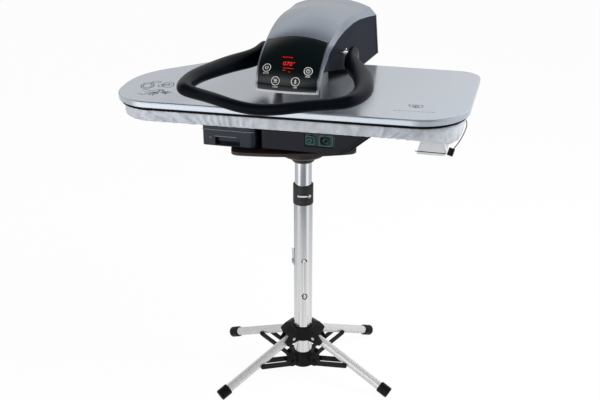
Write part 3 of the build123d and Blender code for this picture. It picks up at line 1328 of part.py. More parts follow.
# Window of the display, let into the panel
display_mid = ((DISPLAY_X[0] + DISPLAY_X[1]) / 2 + HEAD_X, NOSE_Y - 100, (DISPLAY_Z[0] + DISPLAY_Z[1]) / 2)
with BuildPart() as display_window:
    add(nose_block(SHELL_T + TRIM_W, 0))
    add(nose_block(SHELL_T, -DISPLAY_T, NOSE_CUT), mode=Mode.SUBTRACT)
    with Locations(display_mid):
        Box(DISPLAY_X[1] - DISPLAY_X[0], 200, DISPLAY_Z[1] - DISPLAY_Z[0], mode=Mode.INTERSECT)
display_window.part.label = "display_window"
export_step(display_window.part, "parts/display_window.step")

# Curved front panel
with BuildPart() as front_panel:
    add(nose_block(SHELL_T + TRIM_W, 0))
    add(nose_block(SHELL_T, -PANEL_T, NOSE_CUT), mode=Mode.SUBTRACT)
    add(display_window.part, mode=Mode.SUBTRACT)
front_panel.part.label = "front_panel"
export_step(front_panel.part, "parts/front_panel.step")

# Bright trim down both sides of the panel and across its foot
foot_reach, foot_half, foot_crown = NOSE_STATIONS[-1][1:]
with BuildPart() as panel_trim:
    add(nose_block(SHELL_T, TRIM_PROUD))
    add(nose_block(SHELL_T + TRIM_W, 20, NOSE_CUT), mode=Mode.SUBTRACT)
    add(nose_block(0, -PANEL_T, NOSE_CUT), mode=Mode.SUBTRACT)
    with BuildSketch(Plane(origin=(HEAD_X, NOSE_Y, NOSE_Z - TRIM_FOOT_H), x_dir=(1, 0, 0), z_dir=(0, 0, 1))):
        with BuildLine():
            Polyline(
                (foot_half, -foot_reach), (foot_half, -foot_reach + TRIM_FOOT_H),
                (-foot_half, -foot_reach + TRIM_FOOT_H), (-foot_half, -foot_reach),
            )
            ThreePointArc(
                (-foot_half, -foot_reach), (0, -foot_reach - foot_crown - TRIM_PROUD), (foot_half, -foot_reach)
            )
        make_face()
    extrude(amount=TRIM_FOOT_H)
panel_trim.part.label = "panel_trim"
export_step(panel_trim.part, "parts/panel_trim.step")

# Control board behind the panel, held between the sides
board_plane = Plane(
    origin=(HEAD_X, NOSE_Y - 50, NOSE_Z + 60), x_dir=(1, 0, 0), z_dir=(0, -1, 1)
)
with BuildPart() as control_board:
    with BuildSketch(board_plane):
        Rectangle(BOARD_W, BOARD_H)
    extrude(amount=BOARD_T)
    with BuildSketch(board_plane.offset(BOARD_T)):
        Rectangle(*CHIP_SIZE[:2])
    extrude(amount=CHIP_SIZE[2])
    with BuildSketch(board_plane.offset(BOARD_T)):
        with GridLocations(BOARD_W - 30, BOARD_H - 10, 2, 2):
            Circle(3)
    extrude(amount=BOARD_POST)
    add(nose_block(SHELL_T, -PANEL_T), mode=Mode.INTERSECT)
control_board.part.label = "control_board"
export_step(control_board.part, "parts/control_board.step")

# Handle shaft: the pivot of the handle, with a collar against each arm
first_arm = HANDLE_PATH[0][0]
with BuildPart() as handle_shaft:
    with BuildSketch(Plane.YZ.offset(HEAD_X)):
        with Locations((HANDLE_Y, HANDLE_SHAFT_Z)):
            Circle(HANDLE_SHAFT_D / 2)
    extrude(amount=first_arm + SHAFT_END, both=True)
    for side in (-1, 1):
        with BuildSketch(Plane.YZ.offset(HEAD_X + side * (first_arm - HANDLE_PATH[0][3]))):
            with Locations((HANDLE_Y, HANDLE_SHAFT_Z)):
                Circle(HANDLE_COLLAR_D / 2)
        extrude(amount=-side * HANDLE_COLLAR_W)
handle_shaft.part.label = "handle_shaft"
export_step(handle_shaft.part, "parts/handle_shaft.step")

# Steel core of the handle, flattened to an eye at both pivots
core_sizes = [(CORE_R, CORE_EYE_H)] * 2 + [(CORE_R, (CORE_EYE_H + CORE_R) / 2)]
core_sizes += [(CORE_R, CORE_R)] * (len(HANDLE_PATH) - len(core_sizes))
with BuildPart() as handle_core:
    add(handle_loop(core_sizes))
    add(handle_shaft.part, mode=Mode.SUBTRACT)
handle_core.part.label = "handle_core"
export_step(handle_core.part, "parts/handle_core.step")

# Soft grip over the whole handle
with BuildPart() as handle_grip:
    add(handle_loop([size[3:] for size in HANDLE_PATH]))
    fillet(handle_grip.edges().group_by(Axis.Y)[-1], 9)
    add(handle_loop(core_sizes), mode=Mode.SUBTRACT)
    add(handle_shaft.part, mode=Mode.SUBTRACT)
handle_grip.part.label = "handle_grip"
export_step(handle_grip.part, "parts/handle_grip.step")
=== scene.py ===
import random
from math import cos, pi, radians, sin, tan

import bmesh
import bpy
from mathutils import Matrix, Vector
from mathutils.bvhtree import BVHTree


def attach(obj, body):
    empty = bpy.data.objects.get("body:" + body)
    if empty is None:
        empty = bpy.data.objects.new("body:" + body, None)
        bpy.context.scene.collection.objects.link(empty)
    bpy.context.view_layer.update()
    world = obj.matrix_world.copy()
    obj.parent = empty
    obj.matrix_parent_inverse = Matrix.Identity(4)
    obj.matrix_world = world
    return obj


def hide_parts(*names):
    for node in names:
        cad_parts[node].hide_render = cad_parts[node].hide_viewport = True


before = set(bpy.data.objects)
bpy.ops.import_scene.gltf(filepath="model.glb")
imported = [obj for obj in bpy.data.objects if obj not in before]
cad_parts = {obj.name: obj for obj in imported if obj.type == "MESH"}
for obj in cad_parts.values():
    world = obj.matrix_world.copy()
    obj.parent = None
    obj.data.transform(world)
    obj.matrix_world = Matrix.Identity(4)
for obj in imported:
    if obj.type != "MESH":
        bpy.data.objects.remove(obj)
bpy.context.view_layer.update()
scene = bpy.context.scene
MM = 0.001

# Camera at the photograph's angle
CAMERA_PLACE = (0.60698, -2.46598, 1.77725)
CAMERA_TURN = radians(14.0546)
CAMERA_DOWN = radians(24.4265)
PIXELS = 898.49
FRAME_W = 600
FRAME_H = 400
FILM_W = 36.0
CAMERA_REACH = 50.0

camera_data = bpy.data.cameras.new("press_camera")
camera_data.sensor_width = FILM_W
camera_data.lens = PIXELS * FILM_W / FRAME_W
camera_data.clip_end = CAMERA_REACH
camera = bpy.data.objects.new("press_camera", camera_data)
camera.location = CAMERA_PLACE
camera.rotation_euler = (pi / 2 - CAMERA_DOWN, 0.0, CAMERA_TURN)
scene.collection.objects.link(camera)
scene.camera = camera


def sight(px, py):
    """Direction from the camera through a point of the 600 x 400 frame."""
    ahead = Vector((
        -sin(CAMERA_TURN) * cos(CAMERA_DOWN),
        cos(CAMERA_TURN) * cos(CAMERA_DOWN),
        -sin(CAMERA_DOWN),
    ))
    right = Vector((cos(CAMERA_TURN), sin(CAMERA_TURN), 0.0))
    up = right.cross(ahead)
    return (ahead * PIXELS + right * (px - FRAME_W / 2) + up * (FRAME_H / 2 - py)).normalized()


# Finishes
def new_finish(name, color, rough, metal=0.0):
    """Plain finish with its node tree and its shader."""
    made = bpy.data.materials.new(name)
    made.use_nodes = True
    shader = made.node_tree.nodes["Principled BSDF"]
    shader.inputs["Base Color"].default_value = (*color, 1.0)
    shader.inputs["Roughness"].default_value = rough
    shader.inputs["Metallic"].default_value = metal
    return made, made.node_tree, shader


def grain(tree, scale, detail=2.0, stretch=(1.0, 1.0, 1.0)):
    """Noise on Object coordinates; scale is features per metre."""
    place = tree.nodes.new("ShaderNodeTexCoord")
    mapping = tree.nodes.new("ShaderNodeMapping")
    mapping.inputs["Scale"].default_value = stretch
    noise = tree.nodes.new("ShaderNodeTexNoise")
    noise.inputs["Scale"].default_value = scale
    noise.inputs["Detail"].default_value = detail
    tree.links.new(place.outputs["Object"], mapping.inputs["Vector"])
    tree.links.new(mapping.outputs["Vector"], noise.inputs["Vector"])
    return noise.outputs["Fac"]


def spread(tree, source, low, high, source_low=0.3, source_high=0.7):
    """Maps a grey source to the range low to high."""
    ranged = tree.nodes.new("ShaderNodeMapRange")
    ranged.inputs["From Min"].default_value = source_low
    ranged.inputs["From Max"].default_value = source_high
    ranged.inputs["To Min"].default_value = low
    ranged.inputs["To Max"].default_value = high
    tree.links.new(source, ranged.inputs["Value"])
    return ranged.outputs["Result"]


def tint(tree, shader, source, dark, light):
    """Mixes the base colour from dark to light along a grey source."""
    ramp = tree.nodes.new("ShaderNodeValToRGB")
    ramp.color_ramp.elements[0].position = 0.3
    ramp.color_ramp.elements[1].position = 0.7
    ramp.color_ramp.elements[0].color = (*dark, 1.0)
    ramp.color_ramp.elements[1].color = (*light, 1.0)
    tree.links.new(source, ramp.inputs["Fac"])
    tree.links.new(ramp.outputs["Color"], shader.inputs["Base Color"])


def emboss(tree, shader, source, depth, strength=1.0):
    """Bump of a real depth in metres."""
    bump = tree.nodes.new("ShaderNodeBump")
    bump.inputs["Distance"].default_value = depth
    bump.inputs["Strength"].default_value = strength
    tree.links.new(source, bump.inputs["Height"])
    tree.links.new(bump.outputs["Normal"], shader.inputs["Normal"])


def shade(color, factor):
    return tuple(c * factor for c in color)


def drawn_metal(name, color, rough, stretch, streaks_and_painted_bands, relief=0.00002):
    """Drawn or brushed metal with streaks along the stretched axis; the colour's light and dark streaks are
    partly die lines and partly painted reflection bands.
    """
    made, tree, shader = new_finish(name, color, rough, 1.0)
    streak = grain(tree, 900.0, 3.0, stretch)
    tree.links.new(spread(tree, streak, rough - 0.06, rough + 0.09), shader.inputs["Roughness"])
    # painted reflection bands: the colour runs darker and lighter in streaks along the axis, partly real die
    # lines
    dark = shade(color, 1.0 - streaks_and_painted_bands)
    light = shade(color, 1.0 + streaks_and_painted_bands)
    tint(tree, shader, grain(tree, 110.0, 2.0, stretch), dark, light)
    emboss(tree, shader, streak, relief, 0.35)
    return made


def moulded_plastic(name, color, rough, texture=0.00003, scale=1600.0, shine=0.3):
    """Moulded plastic with a fine spark-eroded texture and slight clouding."""
    made, tree, shader = new_finish(name, color, rough)
    shader.inputs["Specular IOR Level"].default_value = shine
    fine = grain(tree, scale, 3.0)
    cloud = grain(tree, 14.0, 2.0)
    tint(tree, shader, cloud, shade(color, 0.93), shade(color, 1.07))
    tree.links.new(spread(tree, fine, rough - 0.05, rough + 0.07), shader.inputs["Roughness"])
    emboss(tree, shader, fine, texture, 0.6)
    return made


def flake_paint(name, color, rough, metal, coat, shine=0.5):
    """Metallic paint: fine flakes under a clear coat, with a slight orange peel."""
    made, tree, shader = new_finish(name, color, rough, metal)
    shader.inputs["Specular IOR Level"].default_value = shine
    flake = grain(tree, 5200.0, 1.0)
    tint(tree, shader, flake, shade(color, 0.92), shade(color, 1.08))
    tree.links.new(spread(tree, flake, rough - 0.03, rough + 0.06), shader.inputs["Roughness"])
    emboss(tree, shader, grain(tree, 260.0, 1.0), 0.00003, 0.25)
    shader.inputs["Coat Weight"].default_value = coat
    shader.inputs["Coat Roughness"].default_value = 0.08
    return made


def bright_metal(name, color, rough):
    """Polished or plated metal with slight clouding."""
    made, tree, shader = new_finish(name, color, rough, 1.0)
    cloud = grain(tree, 60.0, 2.0)
    tree.links.new(spread(tree, cloud, rough * 0.7, rough * 1.5), shader.inputs["Roughness"])
    tint(tree, shader, cloud, shade(color, 0.96), shade(color, 1.02))
    return made


def set_value(finish, socket, value):
    finish.node_tree.nodes["Principled BSDF"].inputs[socket].default_value = value


# The mast's and lower tube's streaks of colour are partly die lines and partly painted reflection bands.
mast_metal = drawn_metal("mast_satin_aluminium", (0.84, 0.845, 0.85), 0.12, (1.0, 1.0, 0.008), 0.06)
tube_metal = drawn_metal("lower_tube_aluminium", (0.66, 0.66, 0.665), 0.17, (1.0, 1.0, 0.008), 0.16)
leg_metal = drawn_metal("leg_satin_aluminium", (0.60, 0.598, 0.59), 0.34, (1.0, 1.0, 1.0), 0.03, 0.000004)
set_value(leg_metal, "Metallic", 0.45)
plain_steel = drawn_metal("plain_steel", (0.50, 0.50, 0.51), 0.32, (1.0, 1.0, 0.2), 0.06)
cast_metal = drawn_metal("cast_alloy", (0.50, 0.50, 0.51), 0.42, (1.0, 1.0, 1.0), 0.05)
chrome = bright_metal("bright_chrome", (0.86, 0.87, 0.88), 0.07)
trim_metal = bright_metal("trim_satin_chrome", (0.22, 0.225, 0.235), 0.18)
copper = bright_metal("boiler_copper", (0.62, 0.40, 0.20), 0.25)
black_plastic = moulded_plastic("black_plastic", (0.0045, 0.0045, 0.0055), 0.42, shine=0.12)
grip_rubber = moulded_plastic("grip_soft_black", (0.0022, 0.0030, 0.0056), 0.34, 0.00002, 2400.0, 0.045)
charcoal_plastic = moulded_plastic("charcoal_plastic", (0.0085, 0.0095, 0.0145), 0.36, shine=0.16)
side_plastic = moulded_plastic("side_charcoal", (0.0075, 0.0095, 0.016), 0.52, shine=0.04)
black_paint = flake_paint("black_powder_paint", (0.0055, 0.0055, 0.006), 0.45, 0.0, 0.0, 0.15)
brown_paint = flake_paint("dark_brown_paint", (0.020, 0.013, 0.011), 0.42, 0.0, 0.15, 0.3)
# near-black: partly a dark non-stick coating, partly painted shade so the plate's edge reads as the shadowed
# gap between the cover and the cloth
plate_coating_and_gap_shade = flake_paint("plate_coating_and_gap_shade", (0.004, 0.004, 0.0045), 0.60, 0.0, 0.0, 0.05)
cover_paint = flake_paint("silver_cover_paint", (0.385, 0.42, 0.465), 0.17, 0.66, 0.0, 0.5)
shell_paint = flake_paint("grey_shell_paint", (0.185, 0.215, 0.26), 0.24, 0.60, 0.0, 0.5)
gloss_black = moulded_plastic("gloss_black", (0.0012, 0.0036, 0.0042), 0.13, 0.00001, 300.0, 0.26)
rubber = moulded_plastic("black_rubber", (0.012, 0.012, 0.012), 0.70)
milky_plastic = moulded_plastic("milky_plastic", (0.80, 0.81, 0.82), 0.30)
set_value(milky_plastic, "Transmission Weight", 0.25)
green_laminate = moulded_plastic("board_green", (0.010, 0.055, 0.022), 0.40)
felt_board = moulded_plastic("fibre_board", (0.45, 0.42, 0.36), 0.90, 0.0002, 500.0)
white_print = moulded_plastic("white_print", (0.92, 0.93, 0.93), 0.45)
grey_print = moulded_plastic("grey_print", (0.070, 0.078, 0.095), 0.45)
ink_black = moulded_plastic("ink_black", (0.004, 0.004, 0.004), 0.55, 0.00001, 300.0, 0.1)
painted_lip_highlight = moulded_plastic("painted_lip_highlight", (0.26, 0.29, 0.35), 0.35)
cream_card = moulded_plastic("cream_card", (0.66, 0.58, 0.46), 0.55)


def smoked_tank():
    """Dark, slightly clear plastic with a soft ripple, for the water tank and its lid."""
    made, tree, shader = new_finish("smoked_plastic", (0.009, 0.013, 0.026), 0.14)
    shader.inputs["Transmission Weight"].default_value = 0.25
    shader.inputs["Specular IOR Level"].default_value = 0.14
    tint(tree, shader, grain(tree, 20.0, 2.0), (0.006, 0.009, 0.020), (0.012, 0.017, 0.034))
    emboss(tree, shader, grain(tree, 45.0, 1.0), 0.00012, 0.3)
    return made


def lit_print_and_painted_glint(name, color, glow, strength):
    """Print that gives off light: the display's lit figures, and the painted teal glints on the switch
    bezel.
    """
    made, tree, shader = new_finish(name, color, 0.3)
    shader.inputs["Emission Color"].default_value = (*glow, 1.0)
    shader.inputs["Emission Strength"].default_value = strength
    return made


smoked_plastic = smoked_tank()
red_window = moulded_plastic("red_window", (0.0030, 0.0024, 0.0028), 0.13, 0.00001, 300.0, 0.26)
red_light = lit_print_and_painted_glint("red_light", (0.5, 0.01, 0.01), (1.0, 0.035, 0.03), 0.55)
teal_glass = new_finish("teal_glass", (0.003, 0.030, 0.032), 0.25)[0]
# painted glint: a dim teal glow for the outlines round the switch bezel's button and socket
painted_teal_glint = lit_print_and_painted_glint("painted_teal_glint", (0.01, 0.10, 0.10), (0.02, 0.42, 0.42), 0.035)


def woven_cloth(name, color, threads, metal=0.0, crinkle=0.0):
    """Cloth woven of crossing threads, threads per metre, with slight clouding; with crinkle, the colour
    follows the crinkles and is darker in their hollows, partly the cloth's own mottling and partly painted
    shade.
    """
    made, tree, shader = new_finish(name, color, 0.55, metal)
    place = tree.nodes.new("ShaderNodeTexCoord")
    waves = []
    for axis in ("X", "Y"):
        wave = tree.nodes.new("ShaderNodeTexWave")
        wave.wave_type = "BANDS"
        wave.bands_direction = axis
        wave.inputs["Scale"].default_value = threads / 20.0
        wave.inputs["Distortion"].default_value = 0.6
        tree.links.new(place.outputs["Object"], wave.inputs["Vector"])
        waves.append(wave.outputs["Fac"])
    both = tree.nodes.new("ShaderNodeMath")
    both.operation = "MAXIMUM"
    tree.links.new(waves[0], both.inputs[0])
    tree.links.new(waves[1], both.inputs[1])
    if crinkle:
        cloud = grain(tree, 42.0, 4.0)
        emboss(tree, shader, cloud, crinkle, 0.8)
        # painted shade: the colour is darker where the crinkle bump is low, partly the cloth's own mottling
        tint(tree, shader, cloud, shade(color, 0.80), shade(color, 1.08))
    else:
        emboss(tree, shader, both.outputs["Value"], 0.00012, 0.45)
        tint(tree, shader, grain(tree, 26.0, 3.0), shade(color, 0.88), shade(color, 1.06))
    tree.links.new(spread(tree, both.outputs["Value"], 0.42, 0.62, 0.0, 1.0), shader.inputs["Roughness"])
    shader.inputs["Sheen Weight"].default_value = 0.25
    return made


silver_cloth = woven_cloth("silver_cloth", (0.55, 0.575, 0.62), 2600.0, 0.35, 0.0004)
strap_cloth = woven_cloth("strap_webbing", (0.004, 0.004, 0.005), 1400.0)
set_value(strap_cloth, "Sheen Weight", 0.0)
cord_cloth = woven_cloth("cord_braid", (0.010, 0.010, 0.011), 3000.0)
foam_skin = moulded_plastic("pad_foam_skin", (0.62, 0.58, 0.48), 0.85, 0.0004, 900.0)

NODE_FINISH = {
    "lower_tube": tube_metal, "upper_tube": mast_metal, "mast_collar": strap_cloth,
    "tube_bush": black_plastic, "catch_bracket": plain_steel, "catch_lever": plain_steel,
    "lower_hub": black_plastic, "upper_hub": black_plastic, "hub_pins": plain_steel,
    "guide_pin": plain_steel, "mast_flange": brown_paint, "support_plate": brown_paint,
    "plate_bolts": plain_steel, "base_housing": charcoal_plastic, "bottom_cover": charcoal_plastic,
    "rubber_feet": rubber, "switch_bezel": gloss_black, "power_button": black_plastic,
    "accessory_socket": black_plastic, "steam_boiler": copper, "water_pump": black_plastic,
    "water_tank": smoked_plastic, "tank_lid": smoked_plastic, "tank_valve": black_plastic,
    "board_pan": leg_metal, "rest_bracket": milky_plastic, "cord_lock": black_plastic,
    "heating_plate": plate_coating_and_gap_shade, "plate_insulation": felt_board, "plate_cover": cover_paint,
    "rear_column": cast_metal, "hinge_shaft": plain_steel, "plate_bracket": cast_metal,
    "arm_frame": plain_steel, "arm_shell": shell_paint, "side_cover_left": side_plastic,
    "side_cover_right": side_plastic, "head_base": black_paint, "display_window": red_window,
    "front_panel": gloss_black, "panel_trim": trim_metal, "control_board": green_laminate,
    "handle_shaft": chrome, "handle_core": plain_steel, "handle_grip": grip_rubber,
}
for corner in ("front_left", "front_right", "rear_left", "rear_right"):
    NODE_FINISH["leg_" + corner] = leg_metal
    NODE_FINISH["foot_cap_" + corner] = black_plastic
    NODE_FINISH["strut_" + corner] = black_paint

for node, made in NODE_FINISH.items():
    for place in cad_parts[node].material_slots:
        place.material = made


# Helpers for new pieces
def piece_of(name, mesh, finish, body):
    """A new piece that rides on a body."""
    piece = bpy.data.objects.new(name, mesh)
    scene.collection.objects.link(piece)
    mesh.materials.clear()
    mesh.materials.append(finish)
    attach(piece, body)
    return piece


def mesh_of(name, bm):
    mesh = bpy.data.meshes.new(name)
    bm.to_mesh(mesh)
    bm.free()
    return mesh


def tree_of(*nodes):
    """Search tree of some CAD nodes' faces."""
    bm = bmesh.new()
    for node in nodes:
        bm.from_mesh(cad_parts[node].data)
    tree = BVHTree.FromBMesh(bm)
    bm.free()
    return tree


def ring(cx, cy, radius, count=28):
    """Points on a circle, in millimetres."""
    angles = [2 * pi * i / count for i in range(count)]
    return [(cx + radius * cos(a), cy + radius * sin(a)) for a in angles]


def close_set(points, closed, longest=2.5):
    """A stroke with more points, so that it can follow a round surface."""
    ends = points[1:] + points[:1] if closed else points[1:]
    dense = []
    for (ax, ay), (bx, by) in zip(points, ends):
        parts = max(1, int(((bx - ax) ** 2 + (by - ay) ** 2) ** 0.5 / longest + 1))
        dense += [(ax + (bx - ax) * i / parts, ay + (by - ay) * i / parts) for i in range(parts)]
    return dense if closed else dense + [points[-1]]


def strokes_mesh(name, strokes, width):
    """Flat pen strokes as one mesh, in millimetres; each stroke is (points, closed)."""
    curve = bpy.data.curves.new(name, "CURVE")
    curve.dimensions = "3D"
    curve.bevel_depth = width / 2
    curve.bevel_resolution = 1
    curve.use_fill_caps = True
    for points, closed in strokes:
        points = close_set(points, closed)
        spline = curve.splines.new("POLY")
        spline.points.add(len(points) - 1)
        for spot, (x, y) in zip(spline.points, points):
            spot.co = (x, y, 0.0, 1.0)
        spline.use_cyclic_u = closed
    holder = bpy.data.objects.new(name, curve)
    scene.collection.objects.link(holder)
    mesh = bpy.data.meshes.new_from_object(holder)
    bpy.data.objects.remove(holder)
    return mesh


def words_mesh(name, words, height):
    """Plain digits or words as a flat mesh in millimetres, centred."""
    text = bpy.data.curves.new(name, "FONT")
    text.body = words
    text.size = height
    text.extrude = 0.05
    text.align_x = "CENTER"
    text.align_y = "CENTER"
    holder = bpy.data.objects.new(name, text)
    scene.collection.objects.link(holder)
    mesh = bpy.data.meshes.new_from_object(holder)
    bpy.data.objects.remove(holder)
    return mesh


RAY_START = 0.03
RAY_REACH = 0.08
MARK_THICKNESS = 0.08


def lay_mark(name, meshes, tree, centre, right, up, finish, body, lift=0.00008):
    """Lays flat marks, drawn in millimetres, on a surface round a point of it."""
    bm = bmesh.new()
    for mesh in meshes:
        bm.from_mesh(mesh)
    out = right.cross(up).normalized()
    for vert in bm.verts:
        spot = centre + right * (vert.co.x * MM) + up * (vert.co.y * MM)
        hit = tree.ray_cast(spot + out * RAY_START, -out, RAY_REACH)[0]
        foot = hit if hit is not None else spot
        vert.co = foot + out * (lift + max(0.0, vert.co.z) * MARK_THICKNESS * MM)
    bm.normal_update()
    piece_of(name, mesh_of(name, bm), finish, body)


# Marks on the control panel: rings with a sign and a word, and the figures behind the red window
ICON_PIXELS = {
    "power": (266.8, 67.5), "steam": (275.3, 80.8), "warmth": (295.3, 81.7), "timer": (308.3, 71.3),
}
ICON_WORDS = {"power": "POWER", "steam": "STEAM", "warmth": "TEMP", "timer": "TIMER"}
ICON_R = 11.4
ICON_STROKE = 1.35
SIGN_SIZE = 0.98
SIGN_STROKE = 1.25
WORD_HEIGHT = 5.0
WORD_DROP = 5.0
DISPLAY_PIXEL = (289.0, 64.0)
DIGIT_HEIGHT = 18.0
HEADING_HEIGHT = 6.2
HEADING_PLACE = (-8.0, 21.0)
DISPLAY_STROKE = 1.1
PRINT_LIFT = 0.0003


def surface_place(px, py, tree):
    """Point of a surface that a pixel of the photograph shows, with its right and its up."""
    hit, normal = tree.ray_cast(Vector(CAMERA_PLACE), sight(px, py))[:2]
    right = Vector((1.0, 0.0, 0.0))
    right = (right - normal * right.dot(normal)).normalized()
    return hit, right, normal.cross(right).normalized()


def turned_arc(across, along, start, step, count):
    """Points on an oval, clockwise from its top."""
    angles = [start + step * i for i in range(count)]
    return [(across * sin(a), along * cos(a)) for a in angles]


def power_sign():
    gap = 0.7
    return [(turned_arc(4.4, 4.4, gap, (2 * pi - 2 * gap) / 20, 21), False), ([(0, 1.0), (0, 6.0)], False)]


def steam_sign():
    wisps = [([(side + 0.9 * sin(t * 1.1), t - 1.0) for t in range(7)], False) for side in (-3.4, 0.0, 3.4)]
    return wisps + [([(-5.0, -3.6), (5.0, -3.6)], False)]


def warmth_sign():
    gap = 0.5
    bulb = turned_arc(-2.1, 2.1, gap, (2 * pi - 2 * gap) / 14, 15)
    stem = [(-1.0, -1.6), (-1.0, 4.6), (1.0, 4.6), (1.0, -1.6)]
    return [([(x, y - 3.4) for x, y in bulb], False), (stem, False)]


def timer_sign():
    return [(ring(0, -0.3, 5.2, 24), True), ([(0, -0.3), (0, 2.6)], False)]


ICON_SIGNS = {"power": power_sign, "steam": steam_sign, "warmth": warmth_sign, "timer": timer_sign}
panel = tree_of("front_panel", "display_window")
for kind, pixel in ICON_PIXELS.items():
    spot, right, up = surface_place(*pixel, panel)
    ring_mesh = strokes_mesh("icon_ring", [(ring(0, 0, ICON_R, 40), True)], ICON_STROKE)
    sign = [([(SIGN_SIZE * x, SIGN_SIZE * y) for x, y in points], closed)
            for points, closed in ICON_SIGNS[kind]()]
    sign_mesh = strokes_mesh("icon_sign", sign, SIGN_STROKE)
    word_mesh = words_mesh("icon_word", ICON_WORDS[kind], WORD_HEIGHT)
    for vert in word_mesh.vertices:
        vert.co.y -= ICON_R + WORD_DROP
    lay_mark("panel_icon_" + kind, [ring_mesh, sign_mesh, word_mesh], panel, spot, right, up, white_print,
             "press")

spot, right, up = surface_place(*DISPLAY_PIXEL, panel)
digits = words_mesh("display_digits", "070\u00b0", DIGIT_HEIGHT)
heading = words_mesh("display_heading", "TEMP TIME", HEADING_HEIGHT)
for vert in heading.vertices:
    vert.co.x += HEADING_PLACE[0]
    vert.co.y += HEADING_PLACE[1]
dashes = [([(-15.0, -13.5), (15.0, -13.5)], False), ([(-15.0, -20.0), (-6.0, -20.0)], False),
          ([(2.0, -24.0), (7.0, -24.0)], False)]
dash_mesh = strokes_mesh("display_marks", dashes, DISPLAY_STROKE)
lay_mark("display_figures", [digits, heading, dash_mesh], panel, spot, right, up, red_light, "press",
         PRINT_LIFT)


# Line drawings on the cover: rings, swirls and leaves at the left, leaves over dashes at the right
LEFT_ART_PLACE = (-0.420, -0.104, 0.983)
LEFT_ART_TURN = 0.25
LEFT_ART_STROKE = 3.0
RIGHT_ART_PLACE = (0.342, -0.090, 0.983)
RIGHT_ART_SLOPE = 0.06
RIGHT_ART_STROKE = 2.6


def leaf(x, y, length, angle, slim=0.32):
    """Outline of a leaf from its stem end."""
    outline = []
    for i in range(13):
        t = i / 12
        outline.append((t * length, slim * length * sin(pi * t) * 0.9))
    outline += [(p[0], -p[1]) for p in reversed(outline[1:-1])]
    c, s = cos(angle), sin(angle)
    return [(x + c * p[0] - s * p[1], y + s * p[0] + c * p[1]) for p in outline]


def sprig(x, y, height, lean, pairs):
    """A stem with pairs of leaves and one at its tip."""
    stem = [(x + lean * (t / 10) ** 2 * height, y + height * t / 10) for t in range(11)]
    strokes = [(stem, False)]
    for i in range(1, pairs + 1):
        sx, sy = stem[int(10 * i / (pairs + 1))]
        size = height * (0.34 - 0.04 * i)
        strokes.append((leaf(sx, sy, size, 0.55), True))
        strokes.append((leaf(sx, sy, size, pi - 0.55), True))
    strokes.append((leaf(stem[-1][0], stem[-1][1], height * 0.22, pi / 2 - lean), True))
    return strokes


def swirl(x, y, radius, turns, start):
    """A curl that winds in to a quarter of its radius."""
    points = []
    for i in range(int(28 * turns) + 1):
        a = start + 2 * pi * i / 28
        r = radius * (1 - 0.75 * i / (28 * turns))
        points.append((x + r * cos(a), y + r * sin(a)))
    return (points, False)


def oval(x, y, across, along):
    angles = [2 * pi * i / 40 for i in range(40)]
    return [(x + across * cos(a), y + along * sin(a)) for a in angles]


def wave(x, y, length, height, pace):
    return [(x + i, y + height * sin(i * pace)) for i in range(0, int(length), 2)]


cover_top = tree_of("plate_cover")
art = [(oval(-30, 30, 19, 29), True), (oval(-30, 30, 13, 20), True), (oval(30, 38, 17, 27), True),
       swirl(30, 38, 11, 1.3, 0.6), (leaf(-24, 62, 32, 0.25), True), (leaf(4, 20, 28, 1.1), True)]
art += [(wave(-40, -14, 62, 5.0, 0.16), False), (wave(-30, -34, 84, 4.0, 0.21), False),
        (wave(-46, -52, 40, 6.0, 0.3), False)]
art += sprig(-2, -66, 46, 0.3, 2) + sprig(34, -58, 40, -0.3, 2)
lay_mark("cover_line_art", [strokes_mesh("cover_line_art", art, LEFT_ART_STROKE)], cover_top,
         Vector(LEFT_ART_PLACE), Vector((cos(LEFT_ART_TURN), sin(LEFT_ART_TURN), 0)),
         Vector((-sin(LEFT_ART_TURN), cos(LEFT_ART_TURN), 0)), grey_print, "press")
small_art = [(leaf(0, -3, 30, angle), True) for angle in (0.9, pi - 0.9)]
small_art += [(leaf(0, -5, 27, pi / 2), True)]
small_art += [([(-58 + 13 * i, -36), (-50 + 13 * i, -36)], False) for i in range(9)]
lay_mark("cover_small_art", [strokes_mesh("cover_small_art", small_art, RIGHT_ART_STROKE)], cover_top,
         Vector(RIGHT_ART_PLACE), Vector((1, RIGHT_ART_SLOPE, 0)).normalized(),
         Vector((-RIGHT_ART_SLOPE, 1, 0)).normalized(), grey_print, "press")


# Marks on the strap, round the keyhole slot, on the tank, the switch bezel and the iron rest; the tank's
# pale lines are painted highlights, the bezel's glowing outlines are painted glints and the iron rest's
# black stroke is a painted shadow line
STRAP_PIXEL = (305.0, 197.2)
KEYHOLE_PIXEL = (304.2, 261.3)
GUIDE_PIN_PIXEL = (304.6, 296.2)
HEIGHT_SCALE_PIXEL = (304.6, 281.0)
TANK_PIXEL = (230.5, 134.0)
BUTTON_PIXEL = (309.9, 140.6)
SOCKET_PIXEL = (325.6, 141.5)
REST_PIXEL = (431.0, 152.4)
MARK_LIFT = 0.00012
GLASS_LIFT = 0.00006
RIM_R = 7.5
GROMMET_HALF_W = 7.3
GROMMET_HALF_H = 9.2
RIM_STROKE = 3.4


def mark_at(name, pixel, nodes, strokes, width, finish, body, lift=MARK_LIFT):
    """Pen strokes on some nodes, round the point of them that a pixel of the photograph shows."""
    tree = tree_of(*nodes)
    spot, right, up = surface_place(*pixel, tree)
    mesh = strokes_mesh(name, strokes, width)
    lay_mark(name, [mesh], tree, spot, right, up, finish, body, lift)


